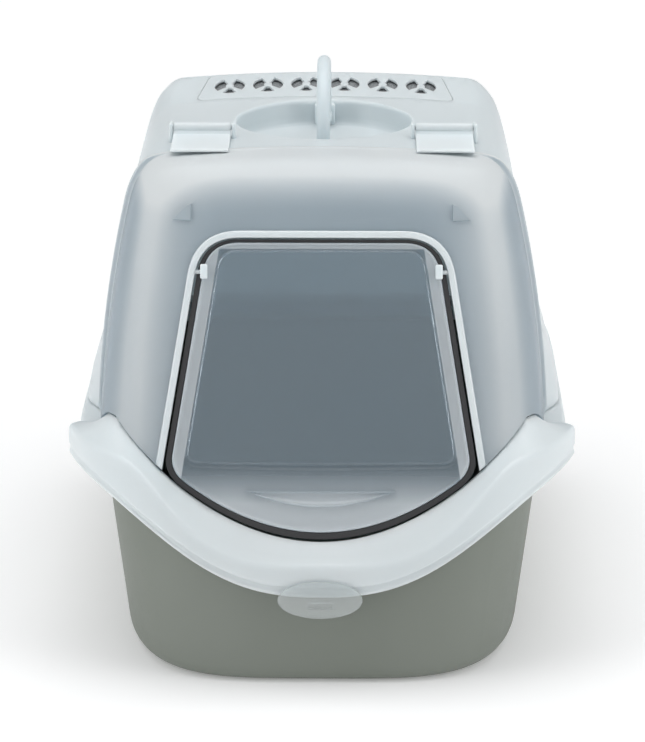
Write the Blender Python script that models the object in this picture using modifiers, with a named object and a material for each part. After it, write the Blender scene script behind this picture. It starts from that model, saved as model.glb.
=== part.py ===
"""Hooded cat litter box: a tapered tray, a wavy rim frame, a rear hood and a front visor with a swing door.

Metres, +Z up, the doorway faces -Y and the origin is on the ground under the middle of the box.
"""

import math

import bmesh
import bpy
import numpy as np
from mathutils import Matrix, Vector

# Overall size
HALF_WIDTH = 0.2
FRONT_DEPTH = 0.280
REAR_DEPTH = 0.2835
WALL = 0.0024

# Rim frame: heights along its wave, from the middle of the front to the sides
LUG_WIDTH = 0.2097
RIM_POWER = 3.5
RIM_WIDTH = 0.197
RIM_SIDE_POWER = 4.0
RIM_REAR_POWER = 6.0
RIM_SILL = 0.114
RIM_SILL_CURVE = 3.25
RIM_SKIRT = 0.016
RIM_SHOULDER = 0.1965
RIM_SIDE_SILL = 0.1625
RIM_SHOULDER_Y = -0.205
RIM_SHOULDER_LENGTH = 0.09
RIM_RIDGE_FRONT = 0.0998
RIM_RIDGE_SIDE = 0.178
RIM_LIP_FRONT = 0.0754
RIM_LIP_SIDE = 0.155
RIM_DROP = 0.018
LUG_BACK = -0.163
RIM_INSET_FRONT = 0.0030
RIM_INSET_SIDE = 0.0085
RIM_INNER_WIDTH = 0.1690
RIM_INNER_DEPTH = 0.2600
RIM_INNER_POWER = 4.0
RIM_STATIONS = 64

# Tray
TRAY_WIDTH = 0.157
TRAY_DEPTH = 0.268
TRAY_LEAN = 0.13
TRAY_FILLET = 0.014
TRAY_POWER = 4.0
TRAY_FLANGE_GAP = 0.0082
TRAY_STATIONS = 48

# Upper body, which the visor and the hood share
BODY_POWER = 7.0
BODY_WIDTH = 0.1776
BODY_BARREL = 0.526
BODY_BARREL_HEIGHT = 0.13
SLOPE_FOOT = Vector((0.0, -0.262, 0.115))
SLOPE_LEAN = 0.4025
REAR_FOOT = 0.262
REAR_LEAN = 0.32
REAR_FOOT_HEIGHT = 0.16
ROOF_HEIGHT = 0.3865
ROOF_CROWN = 0.35
FILTER_RISE_START = 0.079
FILTER_RISE = 0.287
ROOF_CREST = 0.124
ROOF_FALL = 0.30
SHOULDER_DROP = 0.034
SHOULDER_INSET = 0.026
FLARE = 0.0165
FLARE_HEIGHT = 0.08
SEAM = -0.0975
BODY_STATIONS = 64
FOOT_GAP = 0.0022
HOOP_WIDTH = 0.0050
HOOP_RISE = 0.0040
HOOP_RISE_ROOF = 0.0005

# Doorway, on the visor's sloping face: x across, s up the slope
DOORWAY_TOP = 0.234
DOORWAY_SIDE = 0.1305
DOORWAY_LEAN = 0.1586
DOORWAY_CORNER = 0.030
SILL_CURVE = 3.5
PIVOT_S = 0.2075
PIVOT_X = 0.0907
PIVOT_LIFT = -0.0005

# Visor hinge, handle well and filter
HINGE_Y = -0.058
HINGE_Z = 0.3925
HINGE_BORE = 0.0021
ARM_INNER = 0.0735
ARM_OUTER = 0.1195
LUG_THICK = 0.0030
LUG_GAP = 0.0005
WELL_Y = 0.0035
WELL_RADIUS = 0.0725
WELL_FLOOR = 0.366
HANDLE_AXIS_Z = 0.3755
HANDLE_RADIUS = 0.0565
HANDLE_THICK = 0.0055
HANDLE_BORE = 0.0028
BOSS_FACE = 0.0655
BOSS_HALF_WIDTH = 0.0085
BOSS_TOP = 0.3835
FILTER_HALF_FRONT = 0.108
FILTER_HALF_REAR = 0.098
VENT_PITCH = 0.0322
VENT_RADIUS = 0.0128
VENT_HUB = 0.0034
VENT_Y = 0.1035
VENTS = 6
VENT_WINDOWS = ((-38, 66), (114, 218), (244, 296))

# Latch tongue
TONGUE_HALF_WIDTH = 0.0325
TONGUE_HALF_HEIGHT = 0.0150
TONGUE_Z = 0.0741

SLOPE_UP = Vector((0.0, SLOPE_LEAN, 1.0)).normalized()
SLOPE_OUT = Vector((0.0, -SLOPE_UP.z, SLOPE_UP.y))


def smooth(value):
    """Eases from 0 to 1."""
    value = min(max(value, 0.0), 1.0)
    return value * value * (3.0 - 2.0 * value)


def between(start, end, share):
    return start + (end - start) * share


def superellipse(angle, half_x, half_y, power):
    """The point of a superellipse in the direction of this angle."""
    c = math.cos(angle)
    s = math.sin(angle)
    reach = (abs(c / half_x) ** power + abs(s / half_y) ** power) ** (-1.0 / power)
    return reach * c, reach * s


def turn(steps):
    return [2.0 * math.pi * k / steps for k in range(steps)]


def bend(start, corner, end, steps):
    """Points of a quadratic curve from start to end, pulled towards corner; the start is left out."""
    points = []
    for k in range(1, steps + 1):
        t = k / steps
        points.append(start * (1 - t) ** 2 + corner * 2 * t * (1 - t) + end * t * t)
    return points


# ---------------------------------------------------------------- scene and objects


def clear_scene():
    for obj in list(bpy.data.objects):
        bpy.data.objects.remove(obj, do_unlink=True)


def new_collection(name):
    collection = bpy.data.collections.new(name)
    bpy.context.scene.collection.children.link(collection)
    return collection


def plastic(name, colour, roughness, alpha=1.0):
    """A Principled material of one plastic."""
    material = bpy.data.materials.new(name)
    material.use_nodes = True
    shader = material.node_tree.nodes["Principled BSDF"]
    shader.inputs["Base Color"].default_value = (*colour, 1.0)
    shader.inputs["Roughness"].default_value = roughness
    shader.inputs["Metallic"].default_value = 0.0
    shader.inputs["Alpha"].default_value = alpha
    return material


def add_object(name, mesh, material, collection):
    obj = bpy.data.objects.new(name, mesh)
    mesh.materials.clear()
    mesh.materials.append(material)
    mesh.shade_smooth()
    mesh.set_sharp_from_angle(angle=math.radians(40))
    collection.objects.link(obj)
    return obj


def lattice(bm, rows, close_rows=False, close_columns=True):
    """Joins rows of points with quads. close_columns joins each row's ends, close_rows the outer rows."""
    verts = [[bm.verts.new(point) for point in row] for row in rows]
    count = len(verts[0])
    pairs = len(verts) if close_rows else len(verts) - 1
    for j in range(pairs):
        low = verts[j]
        high = verts[(j + 1) % len(verts)]
        for k in range(count if close_columns else count - 1):
            after = (k + 1) % count
            bm.faces.new((low[k], low[after], high[after], high[k]))
    return verts


def finish_mesh(bm, name, outward=True):
    """Turns the bmesh into a mesh. An open surface keeps the direction that its rows give it."""
    if outward:
        bmesh.ops.recalc_face_normals(bm, faces=bm.faces)
    mesh = bpy.data.meshes.new(name)
    bm.to_mesh(mesh)
    bm.free()
    return mesh


def thicken(obj, thickness):
    """Gives an open surface its wall, on the inner side."""
    modifier = obj.modifiers.new("Wall", "SOLIDIFY")
    modifier.thickness = thickness
    modifier.offset = -1.0
    modifier.use_even_offset = True


def combine(obj, other, operation):
    modifier = obj.modifiers.new(operation.title(), "BOOLEAN")
    modifier.operation = operation
    modifier.solver = "EXACT"
    modifier.object = other


def helper(name, mesh, collection):
    """A cutter, or a shape that a Boolean joins on."""
    obj = bpy.data.objects.new(name, mesh)
    obj.hide_render = True
    obj.display_type = "WIRE"
    collection.objects.link(obj)
    return obj


def prism(rows, name):
    """A closed solid from two or more matching outlines."""
    bm = bmesh.new()
    verts = lattice(bm, rows)
    bm.faces.new(verts[0])
    bm.faces.new(verts[-1])
    return finish_mesh(bm, name)


def box_mesh(name, low, high, edge=0.0):
    """A box between two corners, with its edges rounded by edge."""
    bm = bmesh.new()
    size = Vector(high) - Vector(low)
    middle = (Vector(high) + Vector(low)) / 2
    place = Matrix.Translation(middle) @ Matrix.Diagonal((*size, 1.0))
    bmesh.ops.create_cube(bm, size=1.0, matrix=place)
    if edge:
        bmesh.ops.bevel(bm, geom=bm.edges[:], offset=edge, segments=2, affect="EDGES", profile=0.5)
    return finish_mesh(bm, name)


def rod_mesh(name, start, end, radius, sides=16, end_radius=None):
    """A cylinder, or a cone, between two points."""
    start = Vector(start)
    end = Vector(end)
    along = end - start
    turned = along.to_track_quat("Z", "Y").to_matrix().to_4x4()
    bm = bmesh.new()
    bmesh.ops.create_cone(
        bm,
        cap_ends=True,
        segments=sides,
        radius1=radius,
        radius2=radius if end_radius is None else end_radius,
        depth=along.length,
        matrix=Matrix.Translation((start + end) / 2) @ turned,
    )
    return finish_mesh(bm, name)


# ---------------------------------------------------------------- heights of the rim frame


def side_drop(y):
    """How far the rim has come down behind its front lugs."""
    return RIM_DROP * smooth((y - LUG_BACK) / 0.055)


def sill_height(x, y):
    """The rim's inner top edge: a bowl across the doorway, highest at the visor's corners, then lower."""
    if y > 0:
        return RIM_SIDE_SILL
    back = smooth((y - RIM_SHOULDER_Y) / RIM_SHOULDER_LENGTH)
    return min(RIM_SILL + RIM_SILL_CURVE * x * x, between(RIM_SHOULDER, RIM_SIDE_SILL, back))


def ridge_height(x, y):
    """The rim's outer top edge."""
    if y > 0:
        return RIM_RIDGE_SIDE - RIM_DROP
    share = min(abs(x) / 0.155, 1.0) ** 2.1
    return between(RIM_RIDGE_FRONT, RIM_RIDGE_SIDE, smooth(share)) - side_drop(y)


def lip_height(x, y):
    """The rim's lower edge."""
    if y > 0:
        return RIM_LIP_SIDE - RIM_DROP
    share = min(abs(x) / HALF_WIDTH, 1.0) ** 1.3
    wave = 0.5 - 0.5 * math.cos(math.pi * share)
    return between(RIM_LIP_FRONT, RIM_LIP_SIDE, wave) - side_drop(y)


def rim_outer(angle):
    """The rim's outer outline, which steps in behind the front lugs."""
    if math.sin(angle) > 0:
        return Vector(superellipse(angle, RIM_WIDTH, REAR_DEPTH, RIM_REAR_POWER))
    front = Vector(superellipse(angle, LUG_WIDTH, FRONT_DEPTH, RIM_POWER))
    rear = Vector(superellipse(angle, RIM_WIDTH, FRONT_DEPTH, RIM_SIDE_POWER))
    return front.lerp(rear, smooth((front.y - LUG_BACK + 0.002) / 0.004))


def rim_inner(angle):
    """A point of the rim's inner outline, inside the wall that stands on it and the tray, and its height."""
    height = RIM_SILL
    for _ in range(8):
        point = wall_point(angle, height)
        height = sill_height(point.x, point.y)
    back = smooth((point.y + 0.20) / 0.06)
    reach = point.xy.length - between(RIM_INSET_FRONT, RIM_INSET_SIDE, back)
    inside_tray = Vector(superellipse(angle, RIM_INNER_WIDTH, RIM_INNER_DEPTH, RIM_INNER_POWER)).length
    reach = between(reach, min(reach, inside_tray), back)
    return point.xy * (reach / point.xy.length), height


def rim_angles(steps):
    """Even directions, with extra ones where the front lugs end."""
    angles = turn(steps)
    for y in (LUG_BACK - 0.003, LUG_BACK, LUG_BACK + 0.003):
        side = math.atan2(y, HALF_WIDTH - 0.003)
        angles += [side % (2 * math.pi), math.pi - side]
    return sorted(angles)


def rim_profile(angle):
    """Points across the rim: up its inner skirt, over its top and down its outer face."""
    inner, edge = rim_inner(angle)
    outer = rim_outer(angle)
    ridge = ridge_height(*outer)
    lip = lip_height(*outer)
    across = (outer - inner).normalized()
    return [
        (*inner, edge - RIM_SKIRT),
        (*inner, edge - 0.002),
        (*(inner + across * 0.0018), edge),
        (*inner.lerp(outer, 0.5), between(edge, ridge, 0.5) + 0.0006),
        (*(outer - across * 0.0045), between(edge, ridge, 0.86) + 0.0004),
        (*(outer - across * 0.0012), ridge - 0.001),
        (*outer, ridge - 0.0045),
        (*outer, between(ridge, lip, 0.62)),
        (*(outer + across * 0.0003), lip + 0.003),
        (*(outer - across * 0.0006), lip),
    ]


def rim_top(angle, reach):
    """The height of the rim's top surface at a distance from the middle."""
    top = rim_profile(angle)[2:6]
    return float(np.interp(reach, [math.hypot(x, y) for x, y, _ in top], [z for _, _, z in top]))


def build_rim_frame(material, collection):
    profiles = [rim_profile(angle) for angle in rim_angles(RIM_STATIONS)]
    bm = bmesh.new()
    lattice(bm, [[profile[j] for profile in profiles] for j in range(len(profiles[0]))])
    bmesh.ops.reverse_faces(bm, faces=bm.faces)
    rim = add_object("rim_frame", finish_mesh(bm, "rim_frame", outward=False), material, collection)
    thicken(rim, WALL)
    return rim


# ---------------------------------------------------------------- tray


def tray_point(angle, height, inset=0.0):
    half_x = TRAY_WIDTH + TRAY_LEAN * height - inset
    return superellipse(angle, half_x, TRAY_DEPTH - inset, TRAY_POWER)


def tray_column(angle):
    """Points up the tray's wall at one direction, from the floor's edge to the lip of its flange."""
    points = []
    for k in range(5):
        phi = 0.5 * math.pi * k / 4
        height = TRAY_FILLET * (1 - math.cos(phi))
        inset = TRAY_FILLET * (1 - math.sin(phi))
        points.append((*tray_point(angle, height, inset), height))
    depth = FRONT_DEPTH if math.sin(angle) < 0 else REAR_DEPTH
    half_x = RIM_WIDTH - TRAY_FLANGE_GAP
    rim_x, rim_y = superellipse(angle, half_x, depth - TRAY_FLANGE_GAP, RIM_POWER)
    top = lip_height(rim_x, rim_y) + 0.008
    for share in (0.35, 0.7, 1.0):
        height = between(TRAY_FILLET, top, share)
        points.append((*tray_point(angle, height), height))
    points.append((rim_x, rim_y, top + 0.001))
    points.append((rim_x, rim_y, top - 0.005))
    return points


def build_litter_pan(material, collection):
    columns = [tray_column(angle) for angle in turn(TRAY_STATIONS)]
    bm = bmesh.new()
    rows = [[column[j] for column in columns] for j in range(len(columns[0]))]
    verts = lattice(bm, rows)
    bm.faces.new(list(reversed(verts[0])))
    pan = add_object("litter_pan", finish_mesh(bm, "litter_pan", outward=False), material, collection)
    thicken(pan, WALL)
    return pan


# ---------------------------------------------------------------- upper body


def roof_height(x, y):
    """The roof: level over the handle well, rising to the filter's back edge, then falling to the rear."""
    height = ROOF_HEIGHT - ROOF_CROWN * x * x
    height += FILTER_RISE * max(min(y, ROOF_CREST) - FILTER_RISE_START, 0.0)
    return height - ROOF_FALL * max(y - ROOF_CREST, 0.0)


def wall_point(angle, height, grow=0.0, flare=0.0):
    """The upper body's outline at one height."""
    half_x = BODY_WIDTH - BODY_BARREL * max(height - BODY_BARREL_HEIGHT, 0.0) ** 2 + grow
    if math.sin(angle) < 0:
        half_y = -SLOPE_FOOT.y - SLOPE_LEAN * (height - SLOPE_FOOT.z) + grow
    else:
        half_y = REAR_FOOT - REAR_LEAN * (height - REAR_FOOT_HEIGHT) + grow
    x, y = superellipse(angle, half_x, half_y, BODY_POWER)
    behind = smooth((y - SEAM) / 0.06)
    rise = min(max((height - RIM_SIDE_SILL) / FLARE_HEIGHT, 0.0), 1.0)
    low = (1.0 - rise * rise) ** 2
    spread = 1.0 + flare * behind * low / math.hypot(x, y)
    return Vector((x * spread, y * spread, height))


def foot_height(angle, flare):
    """Where the wall stands on the rim frame."""
    height = RIM_SHOULDER
    for _ in range(8):
        point = wall_point(angle, height, flare=flare)
        reach = point.xy.length
        height = max(rim_top(angle, reach), rim_top(angle, reach - WALL)) + FOOT_GAP
    return height


def body_column(angle, grow, flare, levels):
    """Points up one direction of the body: wall, rounded shoulder, and onto the roof."""
    corner_height = ROOF_HEIGHT
    for _ in range(8):
        corner = wall_point(angle, corner_height, grow)
        corner_height = roof_height(corner.x, corner.y) + grow
    corner.z = corner_height
    shoulder = corner_height - SHOULDER_DROP
    foot = foot_height(angle, flare)
    points = []
    for k in range(levels + 1):
        points.append(wall_point(angle, between(foot, shoulder, k / levels), grow, flare))
    flat = corner.xy * (1.0 - SHOULDER_INSET / corner.xy.length)
    edge = Vector((flat.x, flat.y, roof_height(flat.x, flat.y) + grow))
    return points + bend(points[-1], corner, edge, 5)


def split_roof(bm, cap, grow):
    """Cuts the roof's single face into strips and lifts them to the roof's height."""
    cap.material_index = 1
    cuts = [((1, 0, 0), x) for x in (-0.08, -0.04, 0.0, 0.04, 0.08)]
    cuts += [((0, 1, 0), y) for y in (FILTER_RISE_START, ROOF_CREST)]
    for normal, distance in cuts:
        roof = [face for face in bm.faces if face.material_index == 1]
        edges = {edge for face in roof for edge in face.edges}
        place = Vector(normal) * distance
        bmesh.ops.bisect_plane(bm, geom=roof + list(edges), plane_co=place, plane_no=normal, dist=1e-6)
    for face in bm.faces:
        if face.material_index == 1:
            for vert in face.verts:
                vert.co.z = roof_height(vert.co.x, vert.co.y) + grow
            face.material_index = 0


def body_surface(grow=0.0, flare=0.0, levels=5, stations=BODY_STATIONS):
    """The body's outer surface, open at its foot."""
    columns = [body_column(angle, grow, flare, levels) for angle in turn(stations)]
    bm = bmesh.new()
    verts = lattice(bm, [[column[j] for column in columns] for j in range(len(columns[0]))])
    cap = bm.faces.new(verts[-1])
    split_roof(bm, cap, grow)
    return bm


def keep_part(bm, y, front):
    """Keeps what is in front of, or behind, a plane across the body."""
    geometry = bm.verts[:] + bm.edges[:] + bm.faces[:]
    bmesh.ops.bisect_plane(
        bm,
        geom=geometry,
        plane_co=(0, y, 0),
        plane_no=(0, 1, 0),
        clear_outer=front,
        clear_inner=not front,
        dist=1e-6,
    )


def raise_hoop(bm):
    """Turns the visor's rear edge outward into a hoop, tall round the sides and low across the roof."""
    start = SEAM - HOOP_WIDTH
    for y in (start - 0.0012, start):
        geometry = bm.verts[:] + bm.edges[:] + bm.faces[:]
        bmesh.ops.bisect_plane(bm, geom=geometry, plane_co=(0, y, 0), plane_no=(0, 1, 0), dist=1e-6)
    bm.normal_update()
    moves = []
    for vert in bm.verts:
        if vert.co.y > start - 1e-5:
            outward = Vector((vert.normal.x, 0.0, vert.normal.z)).normalized()
            level = smooth((ROOF_HEIGHT - 0.002 - vert.co.z) / 0.012)
            foot = smooth((vert.co.z - RIM_SIDE_SILL - 0.003) / 0.006)
            moves.append((vert, outward * between(HOOP_RISE_ROOF, HOOP_RISE, level) * foot))
    for vert, move in moves:
        vert.co += move


# ---------------------------------------------------------------- doorway


def on_slope(x, s, lift=0.0):
    """A point on the doorway's plane, lifted outward."""
    return SLOPE_FOOT + Vector((x, 0, 0)) + SLOPE_UP * s + SLOPE_OUT * lift


def on_visor(x, s, lift=0.0):
    """A point on the visor's own face, which curves back a little towards the sides."""
    point = on_slope(x, s)
    half_x = BODY_WIDTH - BODY_BARREL * max(point.z - BODY_BARREL_HEIGHT, 0.0) ** 2
    back = 1.0 - (1.0 - min(abs(x) / half_x, 0.99) ** BODY_POWER) ** (1.0 / BODY_POWER)
    point.y *= 1.0 - back
    return point + SLOPE_OUT * lift


def side_line(s, grow):
    return DOORWAY_SIDE - DOORWAY_LEAN * s + grow


def mirrored(half):
    """Both halves of an outline from its right half, which runs from the bottom to the top."""
    left = [(-x, s) for x, s in reversed(half) if x > 1e-6]
    return half + left


def top_corner(grow, top, steps):
    """The doorway's upper corner, from its side to its top edge."""
    radius = DOORWAY_CORNER + grow
    corner = Vector((side_line(top, grow), top))
    low = Vector((side_line(top - radius, grow), top - radius))
    inner = Vector((corner.x - radius, top))
    return [low] + bend(low, corner, inner, steps)


def arch(grow, bottom, steps=6):
    """The doorway's sides and top as an open arch, ending at s = bottom."""
    top = DOORWAY_TOP + grow
    points = top_corner(grow, top, steps)
    half = [(side_line(bottom, grow), bottom), (side_line(0.12, grow), 0.12)]
    half += [(p.x, p.y) for p in points]
    half.append((0.0, top))
    return mirrored(half)


def flap(top_gap, side_gap, bottom_gap, curve=SILL_CURVE, corner=0.012):
    """The closed outline of the door, or of a ring inside it, measured inward from the doorway."""
    top = DOORWAY_TOP - top_gap
    low_x = 0.11
    for _ in range(20):
        low_x = side_line(bottom_gap + curve * low_x * low_x, -side_gap)
    low_s = bottom_gap + curve * low_x * low_x
    on_curve = low_x - corner
    start = Vector((on_curve, bottom_gap + curve * on_curve * on_curve))
    end = Vector((side_line(low_s + corner, -side_gap), low_s + corner))
    half = [(on_curve * k / 6, bottom_gap + curve * (on_curve * k / 6) ** 2) for k in range(7)]
    half += [(p.x, p.y) for p in bend(start, Vector((low_x, low_s)), end, 4)]
    half += [(p.x, p.y) for p in top_corner(-side_gap, top, 6)]
    half.append((0.0, top))
    return mirrored(half)


def doorway_cutter(collection):
    outline = arch(0.0026, -0.03)
    rows = [[on_slope(x, s, lift) for x, s in outline] for lift in (-0.03, 0.03)]
    return helper("doorway_cutter", prism(rows, "doorway_cutter"), collection)


def build_visor(material, collection, cutters):
    bm = body_surface()
    keep_part(bm, SEAM - 0.0003, front=True)
    raise_hoop(bm)
    visor = add_object("visor_shell", finish_mesh(bm, "visor_shell", outward=False), material, collection)
    thicken(visor, WALL)
    combine(visor, doorway_cutter(cutters), "DIFFERENCE")
    for side in (-1, 1):
        combine(visor, snap_rib(side, cutters), "UNION")
    return visor


def snap_rib(side, collection):
    """The small triangular rib beside each upper corner of the doorway."""
    outline = [(0.1150, 0.2470), (0.1012, 0.2470), (0.1012, 0.2600), (0.1070, 0.2560)]
    rows = [[on_visor(side * x, s, lift) for x, s in outline] for lift in (-0.0012, 0.0022)]
    return helper(f"snap_rib_{side}", prism(rows, "snap_rib"), collection)


def strip_foot(grow):
    """Where a line along the door frame meets the rim, with a little room to spare."""
    s = 0.05
    for _ in range(10):
        x = side_line(s, grow)
        s = (sill_height(x, -FRONT_DEPTH) + 0.0022 - SLOPE_FOOT.z) / SLOPE_UP.z
    return s


def build_door_frame(material, collection, cutters):
    """The raised strip round the doorway: it lines the edge and laps over the visor's face."""
    section = [(0.0, -0.0046), (0.0022, -0.0046), (0.0022, 0.0004), (0.0054, 0.0004)]
    section += [(0.0054, 0.0022), (0.0044, 0.0030), (0.0010, 0.0030), (0.0, 0.0024)]
    rows = [[on_visor(x, s, lift) for x, s in arch(grow, strip_foot(grow))] for grow, lift in section]
    bm = bmesh.new()
    verts = lattice(bm, rows, close_rows=True, close_columns=False)
    bm.faces.new([row[0] for row in verts])
    bm.faces.new([row[-1] for row in verts])
    frame = add_object("door_frame", finish_mesh(bm, "door_frame"), material, collection)
    for side in (-1, 1):
        start = on_slope(side * 0.085, PIVOT_S, PIVOT_LIFT)
        end = on_slope(side * 0.1200, PIVOT_S, PIVOT_LIFT)
        mesh = rod_mesh("pivot_bore", start, end, 0.0021)
        combine(frame, helper(f"pivot_bore_{side}", mesh, cutters), "DIFFERENCE")
    return frame


# ---------------------------------------------------------------- swing door


def build_swing_door(material, collection, cutters):
    """A clear flap: a flat margin, a raised panel, and a crescent ledge to hook a paw or a finger on."""
    rings = [
        (flap(0.0036, 0.0060, 0.0066), -0.0012),
        (flap(0.0050, 0.0074, 0.0080), -0.0010),
        (flap(0.0080, 0.0150, 0.0560, curve=0.12), -0.0010),
        (flap(0.0100, 0.0172, 0.0585, curve=0.10), 0.0018),
        (flap(0.0125, 0.0200, 0.0615, curve=0.08), 0.0030),
    ]
    bm = bmesh.new()
    rows = [[on_slope(x, s, lift) for x, s in outline] for outline, lift in rings]
    verts = lattice(bm, rows)
    bm.faces.new(verts[-1])
    door = add_object("swing_door", finish_mesh(bm, "swing_door", outward=False), material, collection)
    thicken(door, 0.0020)
    combine(door, crescent(cutters), "UNION")
    return door


def crescent(collection):
    """The grip's solid: a straight upper edge over a shallow arc."""
    steps = 10
    xs = [0.058 * (2 * k / steps - 1) for k in range(steps + 1)]
    base = [(x, 0.0385) for x in reversed(xs[1:-1])]
    base += [(x, 0.0385 - 0.0125 * (1 - (x / 0.058) ** 2)) for x in xs]
    crest = [(x * 0.94, between(0.0352, s, 0.72)) for x, s in base]
    rows = [[on_slope(x, s, -0.0020) for x, s in base], [on_slope(x, s, 0.0026) for x, s in crest]]
    return helper("crescent", prism(rows, "crescent"), collection)


def build_door_seal(material, collection, cutters):
    """The dark soft edge all round the flap, notched where the pivots cross it."""
    outer = flap(0.0010, 0.0016, 0.0014)
    inner = flap(0.0032, 0.0056, 0.0062)
    section = [(outer, -0.0040), (inner, -0.0040), (inner, -0.0002), (outer, -0.0002)]
    bm = bmesh.new()
    rows = [[on_slope(x, s, lift) for x, s in outline] for outline, lift in section]
    lattice(bm, rows, close_rows=True)
    seal = add_object("door_seal", finish_mesh(bm, "door_seal"), material, collection)
    for side in (-1, 1):
        start = on_slope(side * 0.084, PIVOT_S, PIVOT_LIFT)
        end = on_slope(side * 0.104, PIVOT_S, PIVOT_LIFT)
        mesh = rod_mesh("seal_notch", start, end, 0.0022)
        combine(seal, helper(f"seal_notch_{side}", mesh, cutters), "DIFFERENCE")
    return seal


def build_door_pivot(name, side, material, collection, cutters):
    """A white block on the flap's upper corner, with a pin that turns in the door frame."""
    bm = bmesh.new()
    corners = []
    for x in (-0.0028, 0.0028):
        for s in (-0.0056, 0.0056):
            for lift in (0.0002, 0.0046):
                corners.append(bm.verts.new(on_slope(side * PIVOT_X + x, PIVOT_S + s, lift)))
    bmesh.ops.convex_hull(bm, input=corners)
    bmesh.ops.dissolve_limit(bm, angle_limit=0.01, verts=bm.verts, edges=bm.edges)
    bmesh.ops.bevel(bm, geom=bm.edges[:], offset=0.0009, segments=2, affect="EDGES", profile=0.5)
    block = add_object(name, finish_mesh(bm, name), material, collection)
    start = on_slope(side * 0.0922, PIVOT_S, PIVOT_LIFT)
    end = on_slope(side * 0.0985, PIVOT_S, PIVOT_LIFT)
    pin = helper(f"{name}_pin", rod_mesh("pin", start, end, 0.0017, sides=12), cutters)
    combine(block, pin, "UNION")
    return block


# ---------------------------------------------------------------- hood


def build_hood(material, collection, cutters):
    bm = body_surface(flare=FLARE)
    keep_part(bm, SEAM + 0.0003, front=False)
    hood = add_object("hood_shell", finish_mesh(bm, "hood_shell", outward=False), material, collection)
    thicken(hood, WALL)
    low = (0, WELL_Y, WELL_FLOOR - WALL)
    high = (0, WELL_Y, ROOF_HEIGHT - 0.0012)
    cup = rod_mesh("cup", low, high, WELL_RADIUS, sides=48, end_radius=WELL_RADIUS + 0.002)
    combine(hood, helper("well_cup", cup, cutters), "UNION")
    for side in (-1, 1):
        for near in (ARM_INNER - LUG_GAP - LUG_THICK, ARM_OUTER + LUG_GAP):
            combine(hood, hinge_lug(side, near, cutters), "UNION")
    low = (0, WELL_Y, WELL_FLOOR)
    high = (0, WELL_Y, ROOF_HEIGHT + 0.004)
    bowl = rod_mesh("bowl", low, high, WELL_RADIUS - WALL, sides=48, end_radius=WELL_RADIUS + 0.001)
    combine(hood, helper("well_bowl", bowl, cutters), "DIFFERENCE")
    for way in (-1, 1):
        combine(hood, handle_boss(way, cutters), "UNION")
    bore = rod_mesh("bore", (0, -0.085, HANDLE_AXIS_Z), (0, 0.092, HANDLE_AXIS_Z), HANDLE_BORE)
    combine(hood, helper("handle_bore", bore, cutters), "DIFFERENCE")
    for side in (-1, 1):
        start = (side * (ARM_INNER - 0.006), HINGE_Y, HINGE_Z)
        end = (side * (ARM_OUTER + 0.006), HINGE_Y, HINGE_Z)
        mesh = rod_mesh("hinge_bore", start, end, HINGE_BORE)
        combine(hood, helper(f"hinge_bore_{side}", mesh, cutters), "DIFFERENCE")
    opening = helper("filter_opening", filter_slab("filter_opening", -0.0004, -0.02, 0.02), cutters)
    combine(hood, opening, "DIFFERENCE")
    return hood


def hinge_lug(side, near, collection):
    """A small upright ear on the roof that holds one end of a hinge pin."""
    xs = sorted((side * near, side * (near + LUG_THICK)))
    low = (xs[0], HINGE_Y - 0.0048, ROOF_HEIGHT - 0.0070)
    high = (xs[1], HINGE_Y + 0.0048, HINGE_Z + 0.0042)
    name = f"hinge_lug_{side}_{round(near * 1000)}"
    return helper(name, box_mesh(name, low, high, edge=0.0009), collection)


def handle_boss(way, collection):
    """The block on the well's wall that holds one of the handle's pins."""
    ys = sorted((WELL_Y + way * BOSS_FACE, WELL_Y + way * (WELL_RADIUS + 0.0005)))
    low = (-BOSS_HALF_WIDTH, ys[0], WELL_FLOOR - 0.0010)
    high = (BOSS_HALF_WIDTH, ys[1], BOSS_TOP)
    return helper(f"handle_boss_{way}", box_mesh("handle_boss", low, high, edge=0.0010), collection)


def build_hinge_arm(name, side, material, collection, cutters):
    """A flat arm from the visor's top to a barrel on the hinge line."""
    inner = ARM_INNER + 0.0004
    outer = ARM_OUTER
    roof = roof_height(inner, 0) + 0.0008
    back = HINGE_Y
    front = -0.1130
    outline = [
        (back, HINGE_Z - 0.0012),
        (back - 0.004, roof),
        (front, roof),
        (front, roof + 0.0016),
        (front + 0.002, roof + 0.0026),
        (back - 0.006, roof + 0.0034),
        (back, HINGE_Z + 0.0026),
    ]
    xs = (side * inner, side * outer)
    rows = [[(x, y, z) for y, z in outline] for x in xs]
    arm = add_object(name, prism(rows, name), material, collection)
    start = (side * inner, HINGE_Y, HINGE_Z)
    end = (side * outer, HINGE_Y, HINGE_Z)
    barrel = helper(f"{name}_barrel", rod_mesh("barrel", start, end, 0.0042, sides=20), cutters)
    combine(arm, barrel, "UNION")
    start = (side * (inner - 0.002), HINGE_Y, HINGE_Z)
    end = (side * (outer + 0.002), HINGE_Y, HINGE_Z)
    bore = helper(f"{name}_bore", rod_mesh("bore", start, end, HINGE_BORE), cutters)
    combine(arm, bore, "DIFFERENCE")
    return arm


def build_hinge_pin(name, side, material, collection):
    start = (side * (ARM_INNER - 0.0034), HINGE_Y, HINGE_Z)
    end = (side * (ARM_OUTER + 0.0034), HINGE_Y, HINGE_Z)
    return add_object(name, rod_mesh(name, start, end, 0.0017, sides=14), material, collection)


# ---------------------------------------------------------------- carrying handle


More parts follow.
